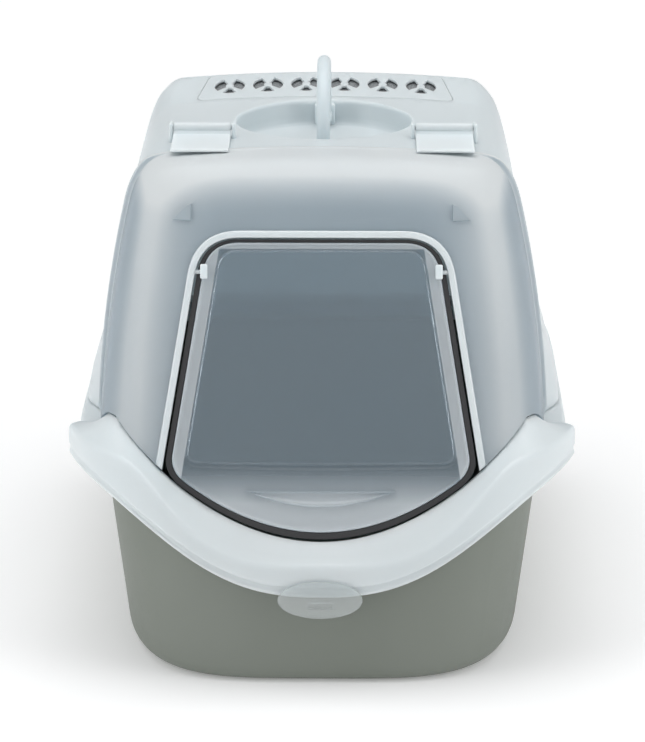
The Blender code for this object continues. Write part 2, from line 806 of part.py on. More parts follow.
def build_handle(material, collection, cutters):
    """A bail that stands over the well and folds flat into it."""
    data = bpy.data.curves.new("handle_path", "CURVE")
    data.dimensions = "3D"
    data.bevel_depth = HANDLE_THICK
    data.bevel_resolution = 2
    data.use_fill_caps = True
    spline = data.splines.new("POLY")
    steps = 20
    spline.points.add(steps)
    for k in range(steps + 1):
        phi = math.pi * k / steps
        rise = HANDLE_RADIUS * math.sin(phi) ** 0.8
        spline.points[k].co = (0, WELL_Y - HANDLE_RADIUS * math.cos(phi), HANDLE_AXIS_Z + rise, 1)
    curve = bpy.data.objects.new("handle_path", data)
    collection.objects.link(curve)
    graph = bpy.context.evaluated_depsgraph_get()
    mesh = bpy.data.meshes.new_from_object(curve.evaluated_get(graph))
    bpy.data.objects.remove(curve, do_unlink=True)
    bm = bmesh.new()
    bm.from_mesh(mesh)
    bmesh.ops.remove_doubles(bm, verts=bm.verts, dist=1e-5)
    bm.to_mesh(mesh)
    bm.free()
    handle = add_object("carry_handle", mesh, material, collection)
    for name, way in (("front", -1), ("rear", 1)):
        start = (0, WELL_Y + way * (HANDLE_RADIUS - 0.0050), HANDLE_AXIS_Z)
        end = (0, WELL_Y + way * (HANDLE_RADIUS + 0.0080), HANDLE_AXIS_Z)
        eye = helper(f"eye_{name}", rod_mesh("eye", start, end, 0.0062, sides=20), cutters)
        combine(handle, eye, "UNION")
        deep = (0, WELL_Y + way * (HANDLE_RADIUS - 0.0020), HANDLE_AXIS_Z)
        past = (0, WELL_Y + way * (HANDLE_RADIUS + 0.0120), HANDLE_AXIS_Z)
        bore = helper(f"eye_bore_{name}", rod_mesh("eye_bore", deep, past, HANDLE_BORE), cutters)
        combine(handle, bore, "DIFFERENCE")
    return handle


def build_handle_pin(name, way, material, collection):
    start = (0, WELL_Y + way * (HANDLE_RADIUS - 0.0016), HANDLE_AXIS_Z)
    end = (0, WELL_Y + way * 0.0760, HANDLE_AXIS_Z)
    return add_object(name, rod_mesh(name, start, end, 0.0024, sides=14), material, collection)


# ---------------------------------------------------------------- filter


def on_roof(x, y, lift):
    """A point over the filter's slope."""
    rise = FILTER_RISE * (y - FILTER_RISE_START)
    return Vector((x, y, ROOF_HEIGHT - ROOF_CROWN * x * x + rise + lift))


def filter_slab(name, shrink, low, high):
    """A plate that follows the roof's crown, with the filter's trapezoid outline drawn in by shrink."""
    front = FILTER_RISE_START + 0.003 + shrink
    rear = ROOF_CREST - 0.0015 - shrink
    corner = 0.006
    rounding = ((0.0, corner), (0.3 * corner, 0.28 * corner), (corner, 0.0))
    stations = [(front + along, inward) for along, inward in rounding]
    stations += [(rear - along, inward) for along, inward in reversed(rounding)]
    rows = []
    across = 10
    for y, inward in stations:
        share = (y - front) / (rear - front)
        half = between(FILTER_HALF_FRONT, FILTER_HALF_REAR, share) - shrink - inward
        xs = [half * (2 * k / across - 1) for k in range(across + 1)]
        rows.append([on_roof(x, y, high) for x in xs] + [on_roof(x, y, low) for x in reversed(xs)])
    return prism(rows, name)


def vent_window(centre_x, first, last, collection, name):
    """One opening of a vent: a slice of a disc between two directions, clear of the spokes."""
    steps = 6
    outline = []
    squeeze = math.cos(math.atan(FILTER_RISE))
    for radius, order in ((VENT_RADIUS, range(steps + 1)), (VENT_HUB, range(steps, -1, -1))):
        for k in order:
            angle = math.radians(between(first, last, k / steps))
            outline.append((centre_x + radius * math.cos(angle), VENT_Y + radius * squeeze * math.sin(angle)))
    rows = [[on_roof(x, y, lift) for x, y in outline] for lift in (-0.006, 0.006)]
    return helper(name, prism(rows, name), collection)


def build_filter_cover(material, collection, cutters):
    """The vented lid, flush with the roof: six discs, each open in three windows between three spokes."""
    plate = filter_slab("filter_cover", 0.0, -0.0018, 0.0005)
    cover = add_object("filter_cover", plate, material, collection)
    for index in range(VENTS):
        centre = (index - (VENTS - 1) / 2) * VENT_PITCH
        for part, (first, last) in enumerate(VENT_WINDOWS):
            name = f"vent_{index}_{part}"
            combine(cover, vent_window(centre, first, last, cutters, name), "DIFFERENCE")
    return cover


def build_filter_pad(material, collection):
    return add_object("filter_pad", filter_slab("filter_pad", 0.0052, -0.0115, -0.0034), material, collection)


def build_filter_tray(material, collection, cutters):
    """The slotted holder that hangs under the lid and carries the pad."""
    block = filter_slab("filter_tray", 0.0003, -0.0135, -0.0022)
    tray = add_object("filter_tray", block, material, collection)
    pocket = helper("pad_pocket", filter_slab("pad_pocket", 0.0045, -0.0120, 0.01), cutters)
    combine(tray, pocket, "DIFFERENCE")
    for index in range(8):
        centre = (index - 3.5) * 0.0225
        low = (centre - 0.007, FILTER_RISE_START + 0.014, ROOF_HEIGHT - 0.03)
        high = (centre + 0.007, ROOF_CREST - 0.013, ROOF_HEIGHT + 0.006)
        slot = helper(f"pad_slot_{index}", box_mesh("pad_slot", low, high), cutters)
        combine(tray, slot, "DIFFERENCE")
    return tray


# ---------------------------------------------------------------- front latch


def build_front_latch(material, collection, cutters):
    """The oval tongue under the front of the rim, with the nub that catches the tray."""
    steps = 32
    levels = ((0.0017, -0.2808), (0.0, -0.2816), (0.0, -0.2827), (0.0020, -0.2835))
    rows = []
    for inset, y in levels:
        half_x = TONGUE_HALF_WIDTH - inset
        half_z = TONGUE_HALF_HEIGHT - 0.6 * inset
        rows.append([(half_x * math.cos(a), y, TONGUE_Z + half_z * math.sin(a)) for a in turn(steps)])
    latch = add_object("front_latch", prism(rows, "front_latch"), material, collection)
    nub = box_mesh("nub", (-0.0095, -0.2812, 0.0662), (0.0095, -0.2768, 0.0712), edge=0.0008)
    combine(latch, helper("latch_nub", nub, cutters), "UNION")
    return latch


def main():
    clear_scene()
    parts = new_collection("cat_litter_box")
    cutters = new_collection("cutters")
    grey = plastic("tray_grey", (0.20, 0.22, 0.19), 0.55)
    white = plastic("milky_white", (0.72, 0.77, 0.79), 0.40)
    frosted = plastic("frosted_clear", (0.55, 0.62, 0.65), 0.45, alpha=0.6)
    clear = plastic("smoky_clear", (0.30, 0.36, 0.40), 0.08, alpha=0.35)
    dark = plastic("dark_rubber", (0.05, 0.05, 0.055), 0.75)
    pin_white = plastic("pin_white", (0.70, 0.74, 0.76), 0.35)
    carbon = plastic("carbon_foam", (0.03, 0.03, 0.03), 0.95)

    build_litter_pan(grey, parts)
    build_rim_frame(white, parts)
    build_front_latch(frosted, parts, cutters)
    build_hood(white, parts, cutters)
    build_visor(frosted, parts, cutters)
    build_door_frame(white, parts, cutters)
    build_swing_door(clear, parts, cutters)
    build_door_seal(dark, parts, cutters)
    for name, side in (("left", -1), ("right", 1)):
        build_hinge_arm(f"hinge_arm_{name}", side, white, parts, cutters)
        build_hinge_pin(f"hinge_pin_{name}", side, pin_white, parts)
        build_door_pivot(f"door_pivot_{name}", side, white, parts, cutters)
    build_handle(white, parts, cutters)
    build_handle_pin("handle_pin_front", -1, pin_white, parts)
    build_handle_pin("handle_pin_rear", 1, pin_white, parts)
    build_filter_cover(white, parts, cutters)
    build_filter_tray(white, parts, cutters)
    build_filter_pad(carbon, parts)


main()
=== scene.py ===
"""Looks of the hooded cat litter box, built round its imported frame.

Metres, +Z up, the doorway faces -Y and the origin is on the ground under the middle of the box.
"""

import math

import bmesh
import bpy
from mathutils import Matrix, Vector


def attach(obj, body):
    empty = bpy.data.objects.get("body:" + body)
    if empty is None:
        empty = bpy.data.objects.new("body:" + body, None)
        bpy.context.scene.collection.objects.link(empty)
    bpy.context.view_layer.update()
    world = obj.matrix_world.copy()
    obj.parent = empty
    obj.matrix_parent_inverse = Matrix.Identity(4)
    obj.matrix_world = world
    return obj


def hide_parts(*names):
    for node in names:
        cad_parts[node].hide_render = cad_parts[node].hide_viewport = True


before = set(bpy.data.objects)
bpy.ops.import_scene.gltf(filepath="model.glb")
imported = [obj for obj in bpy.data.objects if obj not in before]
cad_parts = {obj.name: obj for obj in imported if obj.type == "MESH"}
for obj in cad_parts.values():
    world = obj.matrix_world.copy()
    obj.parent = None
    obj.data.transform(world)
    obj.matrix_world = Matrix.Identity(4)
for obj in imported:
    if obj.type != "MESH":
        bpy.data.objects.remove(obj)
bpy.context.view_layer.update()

# Shells
WALL = 0.0024
FRONT_DEPTH = 0.280
REAR_DEPTH = 0.2835

# Rim frame
HALF_WIDTH = 0.2
LUG_WIDTH = 0.2097
RIM_POWER = 3.5
RIM_WIDTH = 0.197
RIM_SIDE_POWER = 4.0
RIM_REAR_POWER = 6.0
RIM_SILL = 0.114
RIM_SILL_CURVE = 3.25
RIM_SKIRT = 0.016
RIM_SHOULDER = 0.1965
RIM_SIDE_SILL = 0.1625
RIM_SHOULDER_Y = -0.205
RIM_SHOULDER_LENGTH = 0.09
RIM_RIDGE_FRONT = 0.0998
RIM_RIDGE_SIDE = 0.178
RIM_LIP_FRONT = 0.0754
RIM_LIP_SIDE = 0.155
RIM_DROP = 0.018
LUG_BACK = -0.163
RIM_INSET_FRONT = 0.0030
RIM_INSET_SIDE = 0.0085
RIM_INNER_WIDTH = 0.1690
RIM_INNER_DEPTH = 0.2600
RIM_INNER_POWER = 4.0
RIM_EDGE_ROUND = 0.0018
RIM_GROOVE_TOP = 0.0092
RIM_STEPS = 240
RIDGE_REACH = 0.155
RIDGE_POWER = 2.1
LIP_POWER = 1.3
LUG_FALL = 0.055

# Tray
TRAY_WIDTH = 0.157
TRAY_DEPTH = 0.268
TRAY_LEAN = 0.13
TRAY_FILLET = 0.014
TRAY_POWER = 4.0
TRAY_FLANGE_GAP = 0.0082
FLANGE_DROP = 0.005
FLANGE_RISE = 0.0034

# Upper body, which the visor and the hood share
BODY_POWER = 7.0
BODY_WIDTH = 0.1776
BODY_BARREL = 0.526
BODY_BARREL_HEIGHT = 0.13
BODY_LEVELS = 18
SLOPE_FOOT = Vector((0.0, -0.262, 0.115))
SLOPE_LEAN = 0.4025
REAR_FOOT = 0.262
REAR_LEAN = 0.32
REAR_FOOT_HEIGHT = 0.16
ROOF_HEIGHT = 0.3865
ROOF_CROWN = 0.35
FILTER_RISE_START = 0.079
FILTER_RISE = 0.287
ROOF_CREST = 0.124
ROOF_FALL = 0.30
SHOULDER_DROP = 0.034
SHOULDER_INSET = 0.026
FLARE = 0.0165
FLARE_HEIGHT = 0.08
FLARE_GROWTH = 0.06
SEAM = -0.0975
FOOT_GAP = 0.0014
HOOP_WIDTH = 0.0050
HOOP_RISE = 0.0040
HOOP_RISE_ROOF = 0.0005
HOOP_ROUND = 0.0016

# Doorway: x across, s up the slope
DOORWAY_TOP = 0.234
DOORWAY_SIDE = 0.1305
DOORWAY_LEAN = 0.1586
DOORWAY_CORNER = 0.030
SILL_CURVE = 3.5
RIB_MIDDLE = Vector((0.1058, 0.2520))
RIB_OUTLINE = ((0.1150, 0.2470), (0.1012, 0.2470), (0.1012, 0.2600), (0.1040, 0.2588), (0.1085, 0.2548))

# Swing door
DOOR_WALL = 0.0020
DOOR_SHARP = 60
PANEL_TOP_GAP = 0.0086
PANEL_SIDE_GAP = 0.0157
PANEL_FOOT = 0.0566
CRESCENT_HALF = 0.058
CRESCENT_TOP = 0.0385
CRESCENT_DEPTH = 0.0125
CRESCENT_MIDDLE = 0.0345

# Visor hinge, handle well and filter
HINGE_Y = -0.058
HINGE_Z = 0.3925
ARM_INNER = 0.0735
ARM_OUTER = 0.1195
ARM_FRONT = -0.1130
BARREL_RADIUS = 0.0042
HINGE_BORE = 0.0021
LUG_GAP = 0.0005
LUG_THICK = 0.003
LUG_HALF_LENGTH = 0.0048
WELL_Y = 0.0035
WELL_RADIUS = 0.0725
WELL_FLOOR = 0.366
HANDLE_AXIS_Z = 0.3755
HANDLE_RADIUS = 0.0565
HANDLE_FULLNESS = 0.8
HANDLE_HALF_WIDE = 0.0055
HANDLE_HALF_DEEP = 0.0054
HANDLE_EYE = 0.0061
HANDLE_BORE = 0.0028
BOSS_FACE = 0.0655
BOSS_HALF_WIDTH = 0.0085
BOSS_TOP = 0.3835
FILTER_HALF_FRONT = 0.108
FILTER_HALF_REAR = 0.098
FILTER_CORNER = 0.006
VENT_PITCH = 0.0322
VENT_RADIUS = 0.0128
VENT_HUB = 0.0034
VENT_Y = 0.1035
VENTS = 6
VENT_WINDOWS = ((-38, 66), (114, 218), (244, 296))

# Latch tongue
TONGUE_Z = 0.0741

# Studio and camera
TOP_LIGHT = 34
SIDE_LIGHT = 11
WORLD_COLOUR = (0.97, 0.985, 1.0, 1.0)
WORLD_STRENGTH = 0.37
CAMERA_PLACE = (0.03, -2.8, 1.02)
CAMERA_TILT = math.radians(73.15)
CAMERA_TURN = 0.01116
CAMERA_LENS = 170.4

SLOPE_UP = Vector((0.0, SLOPE_LEAN, 1.0)).normalized()
SLOPE_OUT = Vector((0.0, -SLOPE_UP.z, SLOPE_UP.y))


# ---------------------------------------------------------------- curves and outlines


def smooth(value):
    """Eases from 0 to 1."""
    value = min(max(value, 0.0), 1.0)
    return value * value * (3.0 - 2.0 * value)


def between(start, end, share):
    return start + (end - start) * share


def turn(steps):
    return [2.0 * math.pi * k / steps for k in range(steps)]


def bend(start, corner, end, steps):
    """Points of a quadratic curve from start to end, pulled towards corner; the start is left out."""
    points = []
    for k in range(1, steps + 1):
        t = k / steps
        points.append(start * (1 - t) ** 2 + corner * 2 * t * (1 - t) + end * t * t)
    return points


def signed_power(value, exponent):
    return math.copysign(abs(value) ** exponent, value)


def superellipse(angle, half_x, half_y, power):
    """The point of a superellipse in the direction of this angle."""
    c = math.cos(angle)
    s = math.sin(angle)
    reach = (abs(c / half_x) ** power + abs(s / half_y) ** power) ** (-1.0 / power)
    return Vector((reach * c, reach * s))


def outline_point(t, half_x, half_y, power):
    """The point of a superellipse at parameter t."""
    across = half_x * signed_power(math.cos(t), 2.0 / power)
    along = half_y * signed_power(math.sin(t), 2.0 / power)
    return Vector((across, along))


def stations(power, straight, corner):
    """Parameters round a superellipse: even steps along its sides and close together round its corners."""
    turn_in = 0.93 * 0.5 ** (1.0 / power)
    first = math.asin(turn_in ** (power / 2))
    quarter = [math.asin((turn_in * k / straight) ** (power / 2)) for k in range(straight)]
    quarter += [between(first, math.pi / 2 - first, k / corner) for k in range(corner + 1)]
    quarter += [math.acos((turn_in * k / straight) ** (power / 2)) for k in range(straight - 1, 0, -1)]
    return [j * math.pi / 2 + t for j in range(4) for t in quarter]


# ---------------------------------------------------------------- meshes and objects


def lattice(bm, rows, close_rows=False, close_columns=True):
    """Joins rows of points with quads."""
    verts = [[bm.verts.new(point) for point in row] for row in rows]
    count = len(verts[0])
    pairs = len(verts) if close_rows else len(verts) - 1
    for j in range(pairs):
        low = verts[j]
        high = verts[(j + 1) % len(verts)]
        for k in range(count if close_columns else count - 1):
            after = (k + 1) % count
            bm.faces.new((low[k], low[after], high[after], high[k]))
    return verts


def to_mesh(bm, name, outward=True):
    if outward:
        bmesh.ops.recalc_face_normals(bm, faces=bm.faces)
    mesh = bpy.data.meshes.new(name)
    bm.to_mesh(mesh)
    bm.free()
    return mesh


def add_piece(name, mesh, sharp=35):
    obj = bpy.data.objects.new(name, mesh)
    bpy.context.scene.collection.objects.link(obj)
    mesh.shade_smooth()
    mesh.set_sharp_from_angle(angle=math.radians(sharp))
    return obj


def bake_modifiers(obj, sharp=35):
    """Replaces the object's mesh by what its modifiers make of it."""
    graph = bpy.context.evaluated_depsgraph_get()
    mesh = bpy.data.meshes.new_from_object(obj.evaluated_get(graph))
    obj.modifiers.clear()
    obj.data = mesh
    mesh.shade_smooth()
    mesh.set_sharp_from_angle(angle=math.radians(sharp))


def thicken(obj, thickness, even=True):
    modifier = obj.modifiers.new("Wall", "SOLIDIFY")
    modifier.thickness = thickness
    modifier.offset = -1.0
    modifier.use_even_offset = even


def combine(obj, meshes, operation):
    """Joins or cuts the object with solids that don't touch each other."""
    bm = bmesh.new()
    for mesh in meshes:
        bm.from_mesh(mesh)
    other = bpy.data.objects.new("tool", to_mesh(bm, "tool"))
    bpy.context.scene.collection.objects.link(other)
    modifier = obj.modifiers.new(operation.title(), "BOOLEAN")
    modifier.operation = operation
    modifier.solver = "EXACT"
    modifier.object = other
    bake_modifiers(obj)
    bpy.data.objects.remove(other, do_unlink=True)


def prism(rows, name):
    bm = bmesh.new()
    verts = lattice(bm, rows)
    bm.faces.new(verts[0])
    bm.faces.new(verts[-1])
    return to_mesh(bm, name)


def box_mesh(low, high, edge):
    """A box with rounded edges."""
    bm = bmesh.new()
    size = Vector(high) - Vector(low)
    middle = (Vector(high) + Vector(low)) / 2
    bmesh.ops.create_cube(bm, size=1.0, matrix=Matrix.Translation(middle) @ Matrix.Diagonal((*size, 1.0)))
    bmesh.ops.bevel(bm, geom=bm.edges[:], offset=edge, segments=3, affect="EDGES", profile=0.5)
    return to_mesh(bm, "box")


def rod_mesh(start, end, radius, sides=32):
    start = Vector(start)
    end = Vector(end)
    along = end - start
    turned = along.to_track_quat("Z", "Y").to_matrix().to_4x4()
    place = Matrix.Translation((start + end) / 2) @ turned
    bm = bmesh.new()
    bmesh.ops.create_cone(
        bm, cap_ends=True, segments=sides, radius1=radius, radius2=radius, depth=along.length, matrix=place
    )
    return to_mesh(bm, "rod")


def lathe_mesh(profile, centre_y):
    """A closed solid of revolution about a vertical axis, from (radius, height) pairs."""
    angles = turn(96)
    rows = []
    for radius, height in profile:
        rows.append([(radius * math.cos(a), centre_y + radius * math.sin(a), height) for a in angles])
    return prism(rows, "lathe")


# ---------------------------------------------------------------- rim frame and tray


def side_drop(y):
    return RIM_DROP * smooth((y - LUG_BACK) / LUG_FALL)


def sill_height(x, y):
    if y > 0:
        return RIM_SIDE_SILL
    back = smooth((y - RIM_SHOULDER_Y) / RIM_SHOULDER_LENGTH)
    return min(RIM_SILL + RIM_SILL_CURVE * x * x, between(RIM_SHOULDER, RIM_SIDE_SILL, back))


def ridge_height(x, y):
    if y > 0:
        return RIM_RIDGE_SIDE - RIM_DROP
    share = min(abs(x) / RIDGE_REACH, 1.0) ** RIDGE_POWER
    return between(RIM_RIDGE_FRONT, RIM_RIDGE_SIDE, smooth(share)) - side_drop(y)


def lip_height(x, y):
    if y > 0:
        return RIM_LIP_SIDE - RIM_DROP
    share = min(abs(x) / HALF_WIDTH, 1.0) ** LIP_POWER
    wave = 0.5 - 0.5 * math.cos(math.pi * share)
    return between(RIM_LIP_FRONT, RIM_LIP_SIDE, wave) - side_drop(y)


def rim_outer(angle):
    """The rim's outer outline, which steps in behind the front lugs."""
    if math.sin(angle) > 0:
        return superellipse(angle, RIM_WIDTH, REAR_DEPTH, RIM_REAR_POWER)
    front = superellipse(angle, LUG_WIDTH, FRONT_DEPTH, RIM_POWER)
    rear = superellipse(angle, RIM_WIDTH, FRONT_DEPTH, RIM_SIDE_POWER)
    return front.lerp(rear, smooth((front.y - LUG_BACK + 0.003) / 0.006))


def rim_inner(angle):
    """A point of the rim's inner outline, inside the wall that stands on it and the tray, and its height."""
    height = RIM_SILL
    for _ in range(10):
        point = superellipse(angle, *body_size(height, math.sin(angle) < 0), BODY_POWER)
        height = sill_height(point.x, point.y)
    back = smooth((point.y + 0.20) / 0.06)
    reach = point.length - between(RIM_INSET_FRONT, RIM_INSET_SIDE, back)
    inside_tray = superellipse(angle, RIM_INNER_WIDTH, RIM_INNER_DEPTH, RIM_INNER_POWER).length
    reach = between(reach, min(reach, inside_tray), back)
    return point * (reach / point.length), height


def rim_profile(angle):
    """Points across the rim: up its inner skirt, over its top and down its outer face to the lip."""
    inner, edge = rim_inner(angle)
    outer = rim_outer(angle)
    ridge = ridge_height(*outer)
    lip = lip_height(*outer)
    out = (outer - inner).normalized()

    def at(spread, height):
        return Vector((*(outer + out * spread), height))

    inner_top = Vector((*inner, edge - 0.0020))
    points = [Vector((*inner, edge - RIM_SKIRT)), Vector((*inner, edge - 0.009)), inner_top]
    crest = Vector((*(inner + out * RIM_EDGE_ROUND), edge))
    points += bend(inner_top, Vector((*inner, edge)), crest, 4)
    round_start = at(-0.0042, between(edge, ridge, 0.87) + 0.0003)
    for share in (0.25, 0.5, 0.75):
        middle = crest.lerp(round_start, share)
        middle.z += 0.0006 * math.sin(math.pi * share)
        points.append(middle)
    points.append(round_start)
    round_end = at(0.0, ridge - 0.0050)
    points += bend(round_start, at(-0.0002, ridge + 0.0004), round_end, 8)
    points.append(at(0.0002, between(ridge - 0.0050, lip + RIM_GROOVE_TOP, 0.5)))
    points.append(at(0.0, lip + RIM_GROOVE_TOP))
    points += bend(at(0.0, lip + 0.0084), at(-0.0002, lip + 0.0074), at(-0.0011, lip + 0.0070), 3)
    points.append(at(-0.0011, lip + 0.0036))
    points += bend(at(-0.0010, lip + 0.0030), at(0.0, lip + 0.0024), at(-0.0001, lip + 0.0016), 3)
    points += bend(at(-0.0001, lip + 0.0012), at(-0.0003, lip), at(-0.0012, lip), 3)
    return points


def rim_top(angle, reach):
    """The height of the rim's top surface at a distance from the middle."""
    inner, edge = rim_inner(angle)
    outer = rim_outer(angle)
    ridge = ridge_height(*outer)
    span = outer.length - inner.length - RIM_EDGE_ROUND
    share = (reach - inner.length - RIM_EDGE_ROUND) / span
    return between(edge, ridge, min(max(share, 0.0), 1.0))


def build_rim():
    """The wavy band round the tray, with extra sections where its lugs step in."""
    steps = turn(RIM_STEPS)
    for k in range(-3, 4):
        side = math.atan2(LUG_BACK + 0.0012 * k, HALF_WIDTH - 0.003)
        steps += [side % (2 * math.pi), math.pi - side]
    profiles = [rim_profile(angle) for angle in sorted(steps)]
    bm = bmesh.new()
    lattice(bm, [[profile[j] for profile in profiles] for j in range(len(profiles[0]))])
    bmesh.ops.reverse_faces(bm, faces=bm.faces)
    rim = add_piece("rim", to_mesh(bm, "rim", outward=False))
    thicken(rim, WALL, even=False)
    bake_modifiers(rim)
    return rim


def tray_outline(t, height, inset):
    half_x = TRAY_WIDTH + TRAY_LEAN * height - inset
    return outline_point(t, half_x, TRAY_DEPTH - inset, TRAY_POWER)


def tray_section(t):
    """Points round the tray's wall: up its outside, out under the flange, over it and down the inside."""
    wall = tray_outline(t, 0.15, 0.0)
    angle = math.atan2(wall.y, wall.x)
    depth = FRONT_DEPTH if math.sin(t) < 0 else REAR_DEPTH
    rim_xy = superellipse(angle, RIM_WIDTH - TRAY_FLANGE_GAP, depth - TRAY_FLANGE_GAP, RIM_POWER)
    outer_xy = rim_xy * (1.0 + WALL / rim_xy.length)
    top = lip_height(*rim_xy) + 0.008

    outside = []
    inside = []
    for k in range(9):
        phi = 0.5 * math.pi * k / 8
        height = TRAY_FILLET * (1 - math.cos(phi))
        inset = TRAY_FILLET * (1 - math.sin(phi))
        outside.append((*tray_outline(t, height, inset), height))
        inside.append((*tray_outline(t, height, inset + WALL * math.sin(phi)), height + WALL * math.cos(phi)))
    for k in range(1, 9):
        height = between(TRAY_FILLET, top, k / 8)
        outside.append((*tray_outline(t, height, 0.0), height))
        inside.append((*tray_outline(t, height, WALL), height + (FLANGE_RISE if k == 8 else 0.0)))
    flange = [(*rim_xy, top + 0.001), (*rim_xy, top - FLANGE_DROP), (*outer_xy, top - FLANGE_DROP)]
    flange += [(*outer_xy, top + 0.0026), (*rim_xy.lerp(outer_xy, 0.6), top + FLANGE_RISE)]
    return outside + flange + list(reversed(inside))


def build_tray():
    sections = [tray_section(t) for t in stations(TRAY_POWER, 16, 14)]
    rows = [[section[j] for section in sections] for j in range(len(sections[0]))]

    def floor(row, height, shares):
        return [[(x * share, y * share, height) for x, y, _ in row] for share in shares]

    bm = bmesh.new()
    rows = floor(rows[0], 0.0, (0.25, 0.5, 0.75)) + rows + floor(rows[-1], WALL, (0.75, 0.5, 0.25))
    verts = lattice(bm, rows)
    bm.faces.new(verts[0])
    bm.faces.new(verts[-1])
    return add_piece("tray", to_mesh(bm, "tray"))


# ---------------------------------------------------------------- upper body


def roof_height(x, y):
    height = ROOF_HEIGHT - ROOF_CROWN * x * x
    height += FILTER_RISE * max(min(y, ROOF_CREST) - FILTER_RISE_START, 0.0)
    return height - ROOF_FALL * max(y - ROOF_CREST, 0.0)


def body_size(height, front):
    """The body's half width, and its reach to the front or the rear, at one height."""
    half_x = BODY_WIDTH - BODY_BARREL * max(height - BODY_BARREL_HEIGHT, 0.0) ** 2
    if front:
        return half_x, -SLOPE_FOOT.y - SLOPE_LEAN * (height - SLOPE_FOOT.z)
    return half_x, REAR_FOOT - REAR_LEAN * (height - REAR_FOOT_HEIGHT)


def wall_point(t, height, flare):
    x, y = outline_point(t, *body_size(height, math.sin(t) < 0), BODY_POWER)
    behind = smooth((y - SEAM) / FLARE_GROWTH)
    rise = min(max((height - RIM_SIDE_SILL) / FLARE_HEIGHT, 0.0), 1.0)
    low = (1.0 - rise * rise) ** 2
    spread = 1.0 + flare * behind * low / math.hypot(x, y)
    return Vector((x * spread, y * spread, height))


def foot_height(t, flare):
    """Where the wall stands on the rim frame."""
    height = RIM_SHOULDER
    for _ in range(8):
        point = wall_point(t, height, flare)
        angle = math.atan2(point.y, point.x)
        height = rim_top(angle, point.xy.length - WALL) + FOOT_GAP
    return height


def body_column(t, flare):
    """Points up the body's wall, round its shoulder and in across the roof."""
    corner_height = ROOF_HEIGHT
    for _ in range(8):
        corner = wall_point(t, corner_height, 0.0)
        corner_height = roof_height(corner.x, corner.y)
    corner.z = corner_height
    shoulder = corner_height - SHOULDER_DROP
    foot = foot_height(t, flare)
    heights = [between(foot, shoulder, k / BODY_LEVELS) for k in range(BODY_LEVELS + 1)]
    points = [wall_point(t, height, flare) for height in heights]
    flat = corner.xy * (1.0 - SHOULDER_INSET / corner.xy.length)
    edge = Vector((flat.x, flat.y, roof_height(flat.x, flat.y)))
    points += bend(points[-1], corner, edge, 10)
    for k in range(1, 12):
        ring = flat * (1.0 - 0.075 * k)
        points.append(Vector((ring.x, ring.y, roof_height(ring.x, ring.y))))
    return points


def body_surface(flare=0.0):
    columns = [body_column(t, flare) for t in stations(BODY_POWER, 20, 14)]
    bm = bmesh.new()
    verts = lattice(bm, [[column[j] for column in columns] for j in range(len(columns[0]))])
    bm.faces.new(verts[-1])
    return bm


def cut_plane(bm, y, drop_front=False, drop_back=False):
    bmesh.ops.bisect_plane(
        bm,
        geom=bm.verts[:] + bm.edges[:] + bm.faces[:],
        plane_co=(0, y, 0),
        plane_no=(0, 1, 0),
        clear_outer=drop_back,
        clear_inner=drop_front,
        dist=1e-6,
    )


def raise_hoop(bm):
    """Turns the visor's rear edge out into a rounded hoop, tall at the sides and low across the roof."""
    start = SEAM - HOOP_WIDTH
    steps = 6
    for k in range(steps + 1):
        cut_plane(bm, start - HOOP_ROUND + HOOP_ROUND * k / steps)
    cut_plane(bm, SEAM - 0.0012)
    bm.normal_update()
    moves = []
    for vert in bm.verts:
        share = smooth((vert.co.y - start + HOOP_ROUND) / HOOP_ROUND)
        if share > 0:
            outward = Vector((vert.normal.x, 0.0, vert.normal.z)).normalized()
            level = smooth((ROOF_HEIGHT - 0.002 - vert.co.z) / 0.012)
            foot = smooth((vert.co.z - RIM_SIDE_SILL - 0.003) / 0.006)
            rounded = 1.0 - 0.12 * smooth((vert.co.y - SEAM + 0.0011) / 0.0008)
            rise = between(HOOP_RISE_ROOF, HOOP_RISE, level) * foot * share * rounded
            moves.append((vert, outward * rise))
    for vert, move in moves:
        vert.co += move


# ---------------------------------------------------------------- doorway


def on_slope(x, s, lift=0.0):
    return SLOPE_FOOT + Vector((x, 0, 0)) + SLOPE_UP * s + SLOPE_OUT * lift


def on_visor(x, s, lift=0.0):
    """A point on the visor's own face, which curves back a little towards the sides."""
    point = on_slope(x, s)
    half_x, _ = body_size(point.z, True)
    back = 1.0 - (1.0 - min(abs(x) / half_x, 0.99) ** BODY_POWER) ** (1.0 / BODY_POWER)
    point.y *= 1.0 - back
    return point + SLOPE_OUT * lift


def side_line(s, grow):
    return DOORWAY_SIDE - DOORWAY_LEAN * s + grow


def mirrored(half):
    left = [(-x, s) for x, s in reversed(half) if x > 1e-6]
    return half + left


def corner_radius(grow):
    return max(DOORWAY_CORNER + grow, 0.008)


def top_corner(grow, top, steps):
    radius = corner_radius(grow)
    corner = Vector((side_line(top, grow), top))
    low = Vector((side_line(top - radius, grow), top - radius))
    inner = Vector((corner.x - radius, top))
    return [low] + bend(low, corner, inner, steps)


def arch(grow, bottom):
    """The doorway's sides and top as an open arch, ending at s = bottom."""
    top = DOORWAY_TOP + grow
    half = [(side_line(s, grow), s) for s in (between(bottom, 0.19, k / 12) for k in range(12))]
    half += [(p.x, p.y) for p in top_corner(grow, top, 16)]
    last = half[-1][0]
    half += [(last * (1 - k / 8), top) for k in range(1, 9)]
    return mirrored(half)


